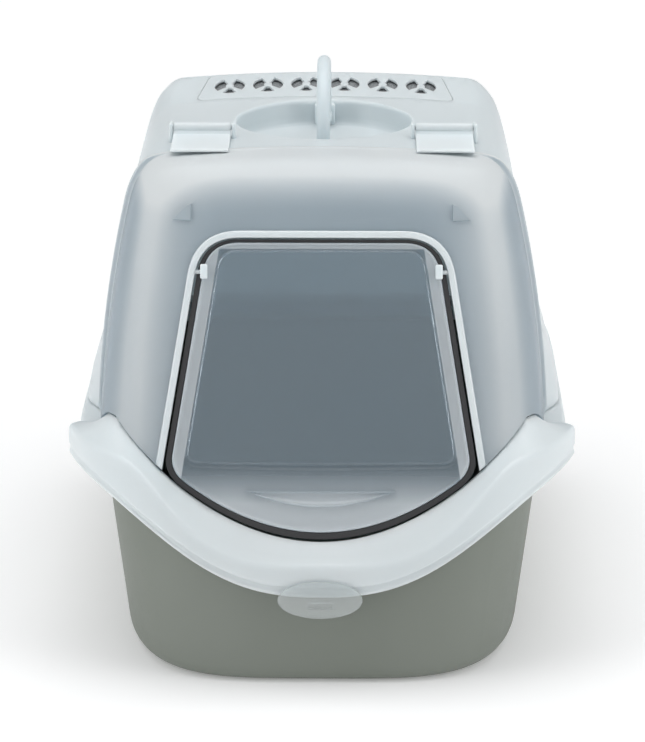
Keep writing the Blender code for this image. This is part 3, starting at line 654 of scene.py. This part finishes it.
def flap(top_gap, side_gap, bottom_gap, curve=SILL_CURVE, corner=0.012):
    """The closed outline of the door, or of a ring inside it, measured inward from the doorway."""
    top = DOORWAY_TOP - top_gap
    low_x = 0.11
    for _ in range(20):
        low_x = side_line(bottom_gap + curve * low_x * low_x, -side_gap)
    low_s = bottom_gap + curve * low_x * low_x
    on_curve = low_x - corner
    start = Vector((on_curve, bottom_gap + curve * on_curve * on_curve))
    end = Vector((side_line(low_s + corner, -side_gap), low_s + corner))
    steps = 18
    xs = [on_curve * k / steps for k in range(steps + 1)]
    half = [(x, bottom_gap + curve * x**2) for x in xs]
    half += [(p.x, p.y) for p in bend(start, Vector((low_x, low_s)), end, 10)]
    first = half[-1][1]
    radius = corner_radius(-side_gap)
    for k in range(1, 10):
        s = between(first, top - radius, k / 10)
        half.append((side_line(s, -side_gap), s))
    half += [(p.x, p.y) for p in top_corner(-side_gap, top, 16)]
    last = half[-1][0]
    half += [(last * (1 - k / 6), top) for k in range(1, 7)]
    return mirrored(half)


def build_ribs():
    """The two small raised wedges beside the doorway's upper corners."""
    ribs = []
    for side in (-1, 1):
        rows = []
        for lift, share in ((-0.0012, 1.0), (0.0018, 1.0), (0.0023, 0.96)):
            row = []
            for x, s in RIB_OUTLINE:
                across = side * between(RIB_MIDDLE.x, x, share)
                row.append(on_visor(across, between(RIB_MIDDLE.y, s, share), lift))
            rows.append(row)
        ribs.append(prism(rows, "rib"))
    return ribs


def build_visor():
    bm = body_surface()
    cut_plane(bm, SEAM - 0.0003, drop_back=True)
    raise_hoop(bm)
    visor = add_piece("visor", to_mesh(bm, "visor", outward=False))
    thicken(visor, WALL)
    bake_modifiers(visor)
    outline = arch(0.0026, -0.03)
    cutter = prism([[on_slope(x, s, lift) for x, s in outline] for lift in (-0.03, 0.03)], "cutter")
    combine(visor, [cutter], "DIFFERENCE")
    combine(visor, build_ribs(), "UNION")
    return visor


def strip_foot(grow):
    s = 0.05
    for _ in range(10):
        x = side_line(s, grow)
        s = (sill_height(x, -FRONT_DEPTH) + 0.0022 - SLOPE_FOOT.z) / SLOPE_UP.z
    return s


def build_strip():
    """The raised strip round the doorway."""
    section = [(0.0, -0.0046), (0.0022, -0.0046), (0.0022, 0.0004), (0.0054, 0.0004), (0.0055, 0.0014)]
    section += [(0.0053, 0.0022), (0.0048, 0.0028), (0.0040, 0.0030), (0.0014, 0.0030), (0.0006, 0.0028)]
    section += [(0.0001, 0.0022), (0.0, 0.0012)]
    rows = [[on_visor(x, s, lift) for x, s in arch(grow, strip_foot(grow))] for grow, lift in section]
    bm = bmesh.new()
    verts = lattice(bm, rows, close_rows=True, close_columns=False)
    bm.faces.new([row[0] for row in verts])
    bm.faces.new([row[-1] for row in verts])
    return add_piece("doorway_strip", to_mesh(bm, "doorway_strip"), sharp=45)


# ---------------------------------------------------------------- swing door


def build_door():
    """A clear flap: a thick bead round its edge, a flat margin and a raised panel with rounded shoulders."""
    rings = [
        (flap(0.0036, 0.0060, 0.0066), -0.0008),
        (flap(0.0039, 0.0063, 0.0069), -0.0001),
        (flap(0.0045, 0.0069, 0.0075), 0.0003),
        (flap(0.0052, 0.0076, 0.0082), 0.0002),
        (flap(0.0058, 0.0083, 0.0089), -0.0006),
        (flap(0.0068, 0.0100, 0.0200, curve=2.6), -0.0010),
        (flap(0.0079, 0.0140, 0.0520, curve=0.30), -0.0010),
        (flap(0.0082, 0.0152, 0.0560, curve=0.14), -0.0009),
        (flap(PANEL_TOP_GAP, PANEL_SIDE_GAP, PANEL_FOOT, curve=0.13), -0.0003),
        (flap(0.0094, 0.0164, 0.0576, curve=0.12), 0.0014),
        (flap(0.0100, 0.0170, 0.0583, curve=0.12), 0.0023),
        (flap(0.0108, 0.0178, 0.0592, curve=0.11), 0.0028),
        (flap(0.0125, 0.0196, 0.0612, curve=0.10), 0.0030),
        (flap(0.0320, 0.0400, 0.0820, curve=0.05), 0.0031),
        (flap(0.0560, 0.0620, 0.1060, curve=0.02, corner=0.010), 0.0031),
    ]
    bm = bmesh.new()
    verts = lattice(bm, [[on_slope(x, s, lift) for x, s in outline] for outline, lift in rings])
    bm.faces.new(verts[-1])
    door = add_piece("door", to_mesh(bm, "door", outward=False), sharp=DOOR_SHARP)
    thicken(door, DOOR_WALL)
    bake_modifiers(door, sharp=DOOR_SHARP)
    combine(door, [crescent_mesh()], "UNION")
    door.data.set_sharp_from_angle(angle=math.radians(DOOR_SHARP))
    return door


def crescent_mesh():
    """The grip: a straight upper edge over a shallow arc, with a raised border round a shallow dish."""
    steps = 28
    xs = [CRESCENT_HALF * (2 * k / steps - 1) for k in range(steps + 1)]
    base = [(x, CRESCENT_TOP) for x in reversed(xs[1:-1])]
    base += [(x, CRESCENT_TOP - CRESCENT_DEPTH * (1 - (x / CRESCENT_HALF) ** 2)) for x in xs]

    def inside(share_x, share_s):
        return [(x * share_x, between(CRESCENT_MIDDLE, s, share_s)) for x, s in base]

    levels = (
        (inside(1.0, 1.0), -0.0020),
        (inside(1.0, 1.0), 0.0004),
        (inside(0.985, 0.93), 0.0018),
        (inside(0.965, 0.84), 0.0026),
        (inside(0.94, 0.74), 0.0026),
        (inside(0.90, 0.60), 0.0016),
        (inside(0.84, 0.44), 0.0010),
    )
    return prism([[on_slope(x, s, lift) for x, s in outline] for outline, lift in levels], "crescent")


def build_seal():
    """The dark soft edge all round the flap."""
    outer = (0.0010, 0.0016, 0.0014)
    inner = (0.0032, 0.0056, 0.0062)
    section = [(0.0, -0.0036), (0.1, -0.0040), (0.9, -0.0040), (1.0, -0.0036), (1.0, -0.0006), (0.9, -0.0002)]
    section += [(0.1, -0.0002), (0.0, -0.0006)]
    rows = []
    for share, lift in section:
        gaps = [between(a, b, share) for a, b in zip(outer, inner)]
        rows.append([on_slope(x, s, lift) for x, s in flap(*gaps)])
    bm = bmesh.new()
    lattice(bm, rows, close_rows=True)
    return add_piece("seal", to_mesh(bm, "seal"))


# ---------------------------------------------------------------- hood


def build_hood():
    """The rear shell: its roof, the well and bosses for the handle, and the lugs of the visor's hinge."""
    bm = body_surface(flare=FLARE)
    cut_plane(bm, SEAM + 0.0003, drop_front=True)
    cut_plane(bm, FILTER_RISE_START)
    cut_plane(bm, ROOF_CREST)
    for vert in bm.verts:
        flat_roof = roof_height(vert.co.x, vert.co.y)
        if abs(vert.co.z - flat_roof) < 0.004 and abs(vert.co.x) < 0.125 and abs(vert.co.y) < 0.135:
            vert.co.z = flat_roof
    hood = add_piece("hood", to_mesh(bm, "hood", outward=False))
    thicken(hood, WALL)
    bake_modifiers(hood)

    cup = [(WELL_RADIUS - 0.004, WELL_FLOOR - WALL), (WELL_RADIUS - 0.001, WELL_FLOOR - WALL + 0.0008)]
    cup += [(WELL_RADIUS, WELL_FLOOR), (WELL_RADIUS + 0.002, ROOF_HEIGHT - 0.0014)]
    lugs = []
    for side in (-1, 1):
        for near in (ARM_INNER - (LUG_GAP + LUG_THICK), ARM_OUTER + LUG_GAP):
            xs = sorted((side * near, side * (near + LUG_THICK)))
            low = (xs[0], HINGE_Y - LUG_HALF_LENGTH, ROOF_HEIGHT - 0.0070)
            high = (xs[1], HINGE_Y + LUG_HALF_LENGTH, HINGE_Z + 0.0042)
            lugs.append(box_mesh(low, high, edge=0.0010))
    combine(hood, [lathe_mesh(cup, WELL_Y)] + lugs, "UNION")

    radius = WELL_RADIUS - WALL
    bowl = [(radius - 0.006, WELL_FLOOR), (radius - 0.003, WELL_FLOOR + 0.0006)]
    bowl += [(radius - 0.001, WELL_FLOOR + 0.0026), (radius, WELL_FLOOR + 0.006)]
    bowl += [(radius + 0.0012, ROOF_HEIGHT - 0.0040), (radius + 0.0018, ROOF_HEIGHT - 0.0020)]
    bowl += [(radius + 0.0034, ROOF_HEIGHT - 0.0006), (radius + 0.0062, ROOF_HEIGHT + 0.0002)]
    bowl.append((radius + 0.0070, ROOF_HEIGHT + 0.004))
    combine(hood, [lathe_mesh(bowl, WELL_Y)], "DIFFERENCE")

    bosses = []
    for way in (-1, 1):
        ys = sorted((WELL_Y + way * BOSS_FACE, WELL_Y + way * (WELL_RADIUS + 0.0005)))
        low = (-BOSS_HALF_WIDTH, ys[0], WELL_FLOOR - 0.0010)
        bosses.append(box_mesh(low, (BOSS_HALF_WIDTH, ys[1], BOSS_TOP), edge=0.0014))
    combine(hood, bosses, "UNION")
    cutters = [filter_slab(((-0.0004, 0.02), (-0.0004, -0.02)))]
    cutters.append(rod_mesh((0, -0.085, HANDLE_AXIS_Z), (0, 0.078, HANDLE_AXIS_Z), HANDLE_BORE))
    for side in (-1, 1):
        start = (side * (ARM_INNER - 0.006), HINGE_Y, HINGE_Z)
        end = (side * (ARM_OUTER + 0.006), HINGE_Y, HINGE_Z)
        cutters.append(rod_mesh(start, end, HINGE_BORE))
    combine(hood, cutters, "DIFFERENCE")
    return hood


def build_arm(name, side):
    """A flat arm from the visor's top to a barrel on the hinge line, with softened edges."""
    inner = ARM_INNER + 0.0004
    outer = ARM_OUTER
    roof = roof_height(inner, 0) + 0.0008
    outline = [(HINGE_Y, HINGE_Z - 0.0012), (HINGE_Y - 0.004, roof)]
    outline += [(ARM_FRONT, roof), (ARM_FRONT, roof + 0.0014)]
    outline += [(ARM_FRONT + 0.0008, roof + 0.0022), (ARM_FRONT + 0.003, roof + 0.0027)]
    outline += [(HINGE_Y - 0.006, roof + 0.0034), (HINGE_Y, HINGE_Z + 0.0026)]
    xs = (inner, inner + 0.0008, outer - 0.0008, outer)
    shrink = (0.0007, 0.0, 0.0, 0.0007)
    rows = []
    for x, less in zip(xs, shrink):
        rows.append([(side * x, y, z - less * (z > roof + 0.001)) for y, z in outline])
    arm = add_piece(name, prism(rows, name))
    barrel = (BARREL_RADIUS, 40, 0.0, "UNION")
    bore = (HINGE_BORE, 32, 0.002, "DIFFERENCE")
    for radius, sides, past, operation in (barrel, bore):
        start = (side * (inner - past), HINGE_Y, HINGE_Z)
        end = (side * (outer + past), HINGE_Y, HINGE_Z)
        combine(arm, [rod_mesh(start, end, radius, sides)], operation)
    return arm


# ---------------------------------------------------------------- carrying handle


def build_handle():
    """A bail with a rounded, slightly flattened section and a thicker eye at each foot."""
    steps = 72
    sides = 24
    rows = []
    for k in range(steps + 1):
        phi = math.pi * k / steps
        rise = HANDLE_RADIUS * math.sin(phi) ** HANDLE_FULLNESS
        centre = Vector((0, WELL_Y - HANDLE_RADIUS * math.cos(phi), HANDLE_AXIS_Z + rise))
        out = Vector((0, -math.cos(phi), math.sin(phi) ** HANDLE_FULLNESS + 0.001)).normalized()
        row = []
        for a in turn(sides):
            across = Vector((HANDLE_HALF_WIDE * math.cos(a), 0, 0))
            row.append(centre + across + out * (HANDLE_HALF_DEEP * math.sin(a)))
        rows.append(row)
    handle = add_piece("handle", prism(rows, "handle"))
    eyes = []
    bores = []
    for way in (-1, 1):
        start = (0, WELL_Y + way * (HANDLE_RADIUS - 0.0050), HANDLE_AXIS_Z)
        end = (0, WELL_Y + way * (HANDLE_RADIUS + 0.0080), HANDLE_AXIS_Z)
        eyes.append(rod_mesh(start, end, HANDLE_EYE, sides=36))
        deep = (0, WELL_Y + way * (HANDLE_RADIUS - 0.0020), HANDLE_AXIS_Z)
        past = (0, WELL_Y + way * (HANDLE_RADIUS + 0.0120), HANDLE_AXIS_Z)
        bores.append(rod_mesh(deep, past, HANDLE_BORE))
    combine(handle, eyes, "UNION")
    combine(handle, bores, "DIFFERENCE")
    return handle


# ---------------------------------------------------------------- filter


def on_roof(x, y, lift):
    """A point over the filter's slope, which follows the roof's crown."""
    rise = FILTER_RISE * (y - FILTER_RISE_START)
    return Vector((x, y, ROOF_HEIGHT - ROOF_CROWN * x * x + rise + lift))


def filter_slab(levels):
    """A plate with the filter's rounded trapezoid outline. A level is (how far it is drawn in, its lift)."""
    across = 24
    arc = [0.5 * math.pi * k / 8 for k in range(9)]
    rounding = [(FILTER_CORNER * (1 - math.cos(a)), FILTER_CORNER * (1 - math.sin(a))) for a in arc]
    bm = bmesh.new()
    grids = []
    for shrink, lift in levels:
        front = FILTER_RISE_START + 0.003 + shrink
        rear = ROOF_CREST - 0.0015 - shrink
        stops = [(front + along, inward) for along, inward in rounding]
        stops += [(rear - along, inward) for along, inward in reversed(rounding)]
        grid = []
        for y, inward in stops:
            side = between(FILTER_HALF_FRONT, FILTER_HALF_REAR, (y - front) / (rear - front))
            half = side - shrink - inward
            xs = [half * (2 * k / across - 1) for k in range(across + 1)]
            grid.append([bm.verts.new(on_roof(x, y, lift)) for x in xs])
        grids.append(grid)
    for grid in (grids[0], grids[-1]):
        for low, high in zip(grid, grid[1:]):
            for k in range(across):
                bm.faces.new((low[k], low[k + 1], high[k + 1], high[k]))
    edges = []
    for grid in grids:
        edge = list(grid[0]) + [row[-1] for row in grid[1:]]
        edge += list(reversed(grid[-1][:-1])) + [row[0] for row in reversed(grid[1:-1])]
        edges.append(edge)
    for upper, lower in zip(edges, edges[1:]):
        for k in range(len(upper)):
            after = (k + 1) % len(upper)
            bm.faces.new((upper[k], upper[after], lower[after], lower[k]))
    return to_mesh(bm, "slab")


def vent_window(centre_x, first, last):
    """One opening of a vent: a slice of a disc between two directions, clear of the spokes."""
    steps = 12
    squeeze = math.cos(math.atan(FILTER_RISE))
    outline = []
    for radius, order in ((VENT_RADIUS, range(steps + 1)), (VENT_HUB, range(steps, -1, -1))):
        for k in order:
            angle = math.radians(between(first, last, k / steps))
            outline.append((centre_x + radius * math.cos(angle), VENT_Y + radius * squeeze * math.sin(angle)))
    return prism([[on_roof(x, y, lift) for x, y in outline] for lift in (-0.006, 0.006)], "window")


def build_filter_cover():
    levels = ((0.0012, 0.0005), (0.0004, 0.0003), (0.0, -0.0003), (0.0, -0.0018))
    cover = add_piece("vent_lid", filter_slab(levels))
    windows = []
    for index in range(VENTS):
        for first, last in VENT_WINDOWS:
            windows.append(vent_window((index - (VENTS - 1) / 2) * VENT_PITCH, first, last))
    combine(cover, windows, "DIFFERENCE")
    return cover


def build_pad():
    levels = ((0.0062, -0.0034), (0.0053, -0.0040), (0.0053, -0.0108), (0.0062, -0.0115))
    return add_piece("carbon_pad", filter_slab(levels))


def build_latch():
    """The oval tongue under the front of the rim, with a soft edge and the nub that catches the tray."""
    steps = 72
    levels = (
        (0.0308, 0.0140, -0.2808),
        (0.0320, 0.0147, -0.2811),
        (0.0325, 0.0150, -0.2817),
        (0.0325, 0.0150, -0.2824),
        (0.0319, 0.0146, -0.2830),
        (0.0305, 0.0136, -0.2834),
        (0.0270, 0.0112, -0.2835),
    )
    rows = []
    for half_x, half_z, y in levels:
        rows.append([(half_x * math.cos(a), y, TONGUE_Z + half_z * math.sin(a)) for a in turn(steps)])
    latch = add_piece("latch", prism(rows, "latch"))
    nub = box_mesh((-0.0095, -0.2812, 0.0662), (0.0095, -0.2768, 0.0712), edge=0.0008)
    combine(latch, [nub], "UNION")
    return latch


# ---------------------------------------------------------------- materials


def new_material(name):
    material = bpy.data.materials.new(name)
    material.use_nodes = True
    nodes = material.node_tree.nodes
    return material, nodes, material.node_tree.links, nodes["Principled BSDF"]


def noise(nodes, links, source, scale, detail=2.0, roughness=0.5, stretch=None):
    """A noise texture in the object's own metres."""
    texture = nodes.new("ShaderNodeTexNoise")
    texture.inputs["Scale"].default_value = scale
    texture.inputs["Detail"].default_value = detail
    texture.inputs["Roughness"].default_value = roughness
    if stretch:
        mapping = nodes.new("ShaderNodeMapping")
        mapping.inputs["Scale"].default_value = stretch
        mapping.inputs["Rotation"].default_value = (0.3, 0.5, 0.7)
        links.new(source, mapping.inputs["Vector"])
        source = mapping.outputs["Vector"]
    links.new(source, texture.inputs["Vector"])
    return texture.outputs["Fac"]


def remap(nodes, links, value, low, high, from_low=0.0, from_high=1.0):
    node = nodes.new("ShaderNodeMapRange")
    node.inputs["From Min"].default_value = from_low
    node.inputs["From Max"].default_value = from_high
    node.inputs["To Min"].default_value = low
    node.inputs["To Max"].default_value = high
    links.new(value, node.inputs["Value"])
    return node.outputs["Result"]


def mix_colour(nodes, links, share, first, second):
    node = nodes.new("ShaderNodeMix")
    node.data_type = "RGBA"
    for socket, colour in (("A", first), ("B", second)):
        target = [s for s in node.inputs if s.name == socket and s.type == "RGBA"][0]
        if isinstance(colour, tuple):
            target.default_value = (*colour, 1.0)
        else:
            links.new(colour, target)
    links.new(share, node.inputs["Factor"])
    return [s for s in node.outputs if s.type == "RGBA"][0]


def add(nodes, links, first, second):
    node = nodes.new("ShaderNodeMath")
    node.operation = "ADD"
    links.new(first, node.inputs[0])
    links.new(second, node.inputs[1])
    return node.outputs[0]


def absolute(nodes, links, value):
    node = nodes.new("ShaderNodeMath")
    node.operation = "ABSOLUTE"
    links.new(value, node.inputs[0])
    return node.outputs[0]


def scuff_marks(nodes, links, place, strength):
    """Sparse rubbed streaks, from 0 to this strength."""
    streaks = noise(nodes, links, place, 16.0, 3.0, 0.6, (1.0, 14.0, 14.0))
    return remap(nodes, links, streaks, 0.0, strength, 0.60, 0.72)


def grain_bump(nodes, links, place, scale, height):
    """A bump node with a fine spark-eroded grain."""
    bump = nodes.new("ShaderNodeBump")
    bump.inputs["Strength"].default_value = 0.6
    bump.inputs["Distance"].default_value = height
    links.new(noise(nodes, links, place, scale, detail=2.0), bump.inputs["Height"])
    return bump.outputs["Normal"]


def plastic(name, colour, shade, roughness, grain=900.0, grain_height=0.00002, scuffs=0.10):
    """Moulded plastic: faint cloudiness, a fine spark-eroded grain, and sparse rubbed scuffs."""
    material, nodes, links, shader = new_material(name)
    place = nodes.new("ShaderNodeTexCoord").outputs["Object"]
    cloud = noise(nodes, links, place, 7.0, detail=3.0)
    speck = noise(nodes, links, place, 320.0, detail=1.0)
    mixed = mix_colour(nodes, links, remap(nodes, links, cloud, 0.0, 1.0, 0.3, 0.7), colour, shade)
    scuff = scuff_marks(nodes, links, place, scuffs)
    lighter = tuple(min(1.0, c * 1.06 + 0.02) for c in colour)
    links.new(mix_colour(nodes, links, scuff, mixed, lighter), shader.inputs["Base Color"])
    worn = remap(nodes, links, cloud, roughness - 0.04, roughness + 0.05, 0.3, 0.7)
    speckled = remap(nodes, links, speck, -0.02, 0.03)
    links.new(add(nodes, links, add(nodes, links, worn, speckled), scuff), shader.inputs["Roughness"])
    fine = grain_bump(nodes, links, place, grain, grain_height)
    wave = nodes.new("ShaderNodeBump")
    wave.inputs["Strength"].default_value = 0.35
    wave.inputs["Distance"].default_value = 0.0004
    links.new(noise(nodes, links, place, 11.0, detail=1.0), wave.inputs["Height"])
    links.new(fine, wave.inputs["Normal"])
    links.new(wave.outputs["Normal"], shader.inputs["Normal"])
    return material, shader


def milky_material(colour, shade):
    """Plastic that lets light a few millimetres into its surface."""
    material, shader = plastic("milky_plastic", colour, shade, 0.38)
    shader.inputs["Subsurface Weight"].default_value = 1.0
    shader.inputs["Subsurface Radius"].default_value = (1.0, 1.0, 1.0)
    shader.inputs["Subsurface Scale"].default_value = 0.006
    shader.inputs["IOR"].default_value = 1.49
    return material


def frosted_material():
    """See-through on its flat front, with painted light where it turns over to the roof and the sides: paler
    and less see-through there, standing in for the top and side lamps.
    """
    material, nodes, links, shader = new_material("frosted_plastic")
    coordinates = nodes.new("ShaderNodeTexCoord")
    place = coordinates.outputs["Object"]
    split = nodes.new("ShaderNodeSeparateXYZ")
    links.new(coordinates.outputs["Normal"], split.inputs[0])
    across = absolute(nodes, links, split.outputs["X"])
    # Painted light from the surface's normal: lighter where the face turns up to the roof, a painted side
    # band where it faces about 45 degrees sideways, fading again where it faces straight out to the side.
    up = remap(nodes, links, split.outputs["Z"], 0.0, 0.85, 0.34, 0.72)
    painted_side_band = remap(nodes, links, across, 0.04, 0.62, 0.02, 0.38)
    beside = remap(nodes, links, across, 0.0, -0.62, 0.66, 0.98)
    painted_light = add(nodes, links, add(nodes, links, up, painted_side_band), beside)
    cloud = noise(nodes, links, place, 7.0, detail=3.0)
    painted_light = add(nodes, links, painted_light, remap(nodes, links, cloud, -0.04, 0.04, 0.3, 0.7))
    painted_light = remap(nodes, links, painted_light, 0.0, 0.9, 0.0, 0.9)
    scuff = scuff_marks(nodes, links, place, 0.06)
    # The bluish colour is the see-through front, the pale one is the painted light.
    colour = mix_colour(nodes, links, painted_light, (0.52, 0.62, 0.69), (0.90, 0.925, 0.925))
    links.new(mix_colour(nodes, links, scuff, colour, (0.90, 0.93, 0.94)), shader.inputs["Base Color"])
    links.new(remap(nodes, links, painted_light, 0.60, 0.30), shader.inputs["Transmission Weight"])
    speck = remap(nodes, links, noise(nodes, links, place, 320.0, detail=1.0), 0.38, 0.46)
    links.new(add(nodes, links, speck, scuff), shader.inputs["Roughness"])
    shader.inputs["IOR"].default_value = 1.38
    links.new(grain_bump(nodes, links, place, 900.0, 0.00002), shader.inputs["Normal"])
    return material


def tongue_material():
    material, shader = plastic("tongue_plastic", (0.93, 0.96, 0.965), (0.91, 0.95, 0.955), 0.20, scuffs=0.04)
    shader.inputs["Transmission Weight"].default_value = 0.78
    shader.inputs["IOR"].default_value = 1.30
    return material


def door_material():
    """Clear plastic, with a painted highlight in the flat margin round the raised panel: paler and less
    see-through there.
    """
    material, shader = plastic(
        "clear_plastic", (0.50, 0.60, 0.67), (0.48, 0.585, 0.66), 0.06, grain_height=0.000002, scuffs=0.05
    )
    nodes = material.node_tree.nodes
    links = material.node_tree.links
    place = nodes.new("ShaderNodeTexCoord").outputs["Object"]
    along = nodes.new("ShaderNodeVectorMath")
    along.operation = "DOT_PRODUCT"
    along.inputs[1].default_value = SLOPE_UP
    links.new(place, along.inputs[0])
    start = SLOPE_FOOT.dot(SLOPE_UP)
    slope = remap(nodes, links, along.outputs["Value"], 0.0, 1.0, start, start + 1.0)
    split = nodes.new("ShaderNodeSeparateXYZ")
    links.new(place, split.inputs[0])
    across = absolute(nodes, links, split.outputs["X"])
    leaning = nodes.new("ShaderNodeMath")
    leaning.operation = "MULTIPLY_ADD"
    leaning.inputs[1].default_value = DOORWAY_LEAN
    links.new(slope, leaning.inputs[0])
    links.new(across, leaning.inputs[2])
    # Painted highlight: the margin beside, above and below the raised panel is mixed to a pale colour and
    # made less see-through.
    panel_side = DOORWAY_SIDE - PANEL_SIDE_GAP
    panel_top = DOORWAY_TOP - PANEL_TOP_GAP
    beside = remap(nodes, links, leaning.outputs[0], 0.0, 1.0, panel_side - 0.0004, panel_side + 0.0006)
    above = remap(nodes, links, slope, 0.0, 1.0, panel_top - 0.0004, panel_top + 0.0006)
    below = remap(nodes, links, slope, 1.0, 0.0, PANEL_FOOT - 0.028, PANEL_FOOT)
    margin = add(nodes, links, add(nodes, links, beside, above), below)
    margin = remap(nodes, links, margin, 0.0, 1.0)
    base = shader.inputs["Base Color"].links[0].from_socket
    links.new(mix_colour(nodes, links, margin, base, (0.84, 0.90, 0.94)), shader.inputs["Base Color"])
    links.new(remap(nodes, links, margin, 0.75, 0.52), shader.inputs["Transmission Weight"])
    shader.inputs["IOR"].default_value = 1.46
    return material


def tray_material():
    material, _ = plastic(
        "tray_plastic", (0.215, 0.235, 0.205), (0.20, 0.22, 0.19), 0.56, grain=700.0, grain_height=0.00004
    )
    return material


def seal_material():
    material, _ = plastic("seal_rubber", (0.040, 0.040, 0.042), (0.030, 0.030, 0.032), 0.70, grain=1400.0)
    return material


def foam_material():
    """Open grey foam: small cells with painted shade in their pits, which the bump sinks, and paler on their
    edges.
    """
    material, nodes, links, shader = new_material("foam")
    place = nodes.new("ShaderNodeTexCoord").outputs["Object"]
    cells = nodes.new("ShaderNodeTexVoronoi")
    cells.inputs["Scale"].default_value = 900.0
    links.new(place, cells.inputs["Vector"])
    # Painted shade: the colour darkens towards each cell's pit, where the bump sinks it.
    share = remap(nodes, links, cells.outputs["Distance"], 0.0, 1.0, 0.1, 0.6)
    colour = mix_colour(nodes, links, share, (0.13, 0.14, 0.145), (0.30, 0.315, 0.325))
    links.new(colour, shader.inputs["Base Color"])
    links.new(remap(nodes, links, share, 0.98, 0.85), shader.inputs["Roughness"])
    bump = nodes.new("ShaderNodeBump")
    bump.inputs["Strength"].default_value = 1.0
    bump.inputs["Distance"].default_value = 0.0006
    links.new(cells.outputs["Distance"], bump.inputs["Height"])
    links.new(bump.outputs["Normal"], shader.inputs["Normal"])
    return material


# ---------------------------------------------------------------- studio


def area_light(name, place, target, size, energy):
    data = bpy.data.lights.new(name, "AREA")
    data.shape = "RECTANGLE"
    data.size, data.size_y = size
    data.energy = energy
    light = bpy.data.objects.new(name, data)
    light.location = place
    light.rotation_euler = (Vector(target) - Vector(place)).to_track_quat("-Z", "Y").to_euler()
    bpy.context.scene.collection.objects.link(light)


def build_studio():
    """A pale floor that glows more with distance, a soft sky and three soft lights."""
    bm = bmesh.new()
    bmesh.ops.create_grid(bm, x_segments=1, y_segments=1, size=6.0)
    floor = add_piece("floor", to_mesh(bm, "floor"))
    floor.location.z = -0.0002
    material, nodes, links, shader = new_material("floor")
    place = nodes.new("ShaderNodeTexCoord").outputs["Object"]
    share = noise(nodes, links, place, 1.2, detail=1.0)
    colour = mix_colour(nodes, links, share, (0.93, 0.93, 0.93), (0.91, 0.91, 0.915))
    links.new(colour, shader.inputs["Base Color"])
    shader.inputs["Roughness"].default_value = 0.9
    shader.inputs["Emission Color"].default_value = (1.0, 1.0, 1.0, 1.0)
    reach = nodes.new("ShaderNodeVectorMath")
    reach.operation = "LENGTH"
    links.new(place, reach.inputs[0])
    glow = remap(nodes, links, reach.outputs["Value"], 0.18, 0.62, 0.4, 3.0)
    links.new(glow, shader.inputs["Emission Strength"])
    floor.data.materials.append(material)

    world = bpy.data.worlds.new("studio")
    world.use_nodes = True
    sky = world.node_tree.nodes["Background"]
    sky.inputs["Color"].default_value = WORLD_COLOUR
    sky.inputs["Strength"].default_value = WORLD_STRENGTH
    bpy.context.scene.world = world
    area_light("top", (0.0, 0.1, 2.4), (0, 0, 0.2), (2.6, 2.2), TOP_LIGHT)
    for name, side in (("left", -1), ("right", 1)):
        area_light(name, (side * 1.7, -0.9, 1.0), (0, -0.05, 0.2), (1.0, 1.8), SIDE_LIGHT)
    bpy.context.scene.view_settings.view_transform = "Standard"


def build_camera():
    data = bpy.data.cameras.new("camera")
    data.lens = CAMERA_LENS
    data.sensor_width = 36.0
    data.clip_end = 50.0
    camera = bpy.data.objects.new("camera", data)
    camera.location = CAMERA_PLACE
    camera.rotation_euler = (CAMERA_TILT, 0.0, CAMERA_TURN)
    bpy.context.scene.collection.objects.link(camera)
    bpy.context.scene.camera = camera


# ---------------------------------------------------------------- everything together


def place_piece(obj, body, nodes, material):
    """Dresses a new piece, and hides the CAD nodes it stands for."""
    obj.data.materials.clear()
    obj.data.materials.append(material)
    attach(obj, body)
    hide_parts(*nodes)
    return obj


def dress_node(name, material):
    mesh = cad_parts[name].data
    mesh.materials.clear()
    mesh.materials.append(material)


def main():
    build_camera()
    build_studio()
    milky = milky_material((0.735, 0.805, 0.83), (0.71, 0.785, 0.815))
    # A darker copy of the same milky plastic, as painted shade on the hood, the handle and the filter lid.
    shaded_milky = milky_material((0.66, 0.725, 0.75), (0.64, 0.71, 0.735))
    frosted = frosted_material()
    door_plastic = door_material()
    place_piece(build_tray(), "pan", ["litter_pan"], tray_material())
    place_piece(build_rim(), "rim", ["rim_frame"], milky)
    place_piece(build_latch(), "latch", ["front_latch"], tongue_material())
    place_piece(build_hood(), "hood", ["hood_shell"], shaded_milky)
    place_piece(build_visor(), "visor", ["visor_shell"], frosted)
    place_piece(build_strip(), "visor", ["door_frame"], milky)
    place_piece(build_door(), "door", ["swing_door"], door_plastic)
    place_piece(build_seal(), "door", ["door_seal"], seal_material())
    place_piece(build_handle(), "handle", ["carry_handle"], shaded_milky)
    place_piece(build_filter_cover(), "filter_lid", ["filter_cover"], shaded_milky)
    pad = place_piece(build_pad(), "hood", ["filter_pad"], foam_material())
    for name, side in (("left", -1), ("right", 1)):
        arm = build_arm(f"visor_arm_{name}", side)
        place_piece(arm, "visor", [f"hinge_arm_{name}"], milky)
        dress_node(f"hinge_pin_{name}", milky)
        dress_node(f"door_pivot_{name}", milky)
    for name in ("handle_pin_front", "handle_pin_rear", "filter_tray"):
        dress_node(name, milky)


main()
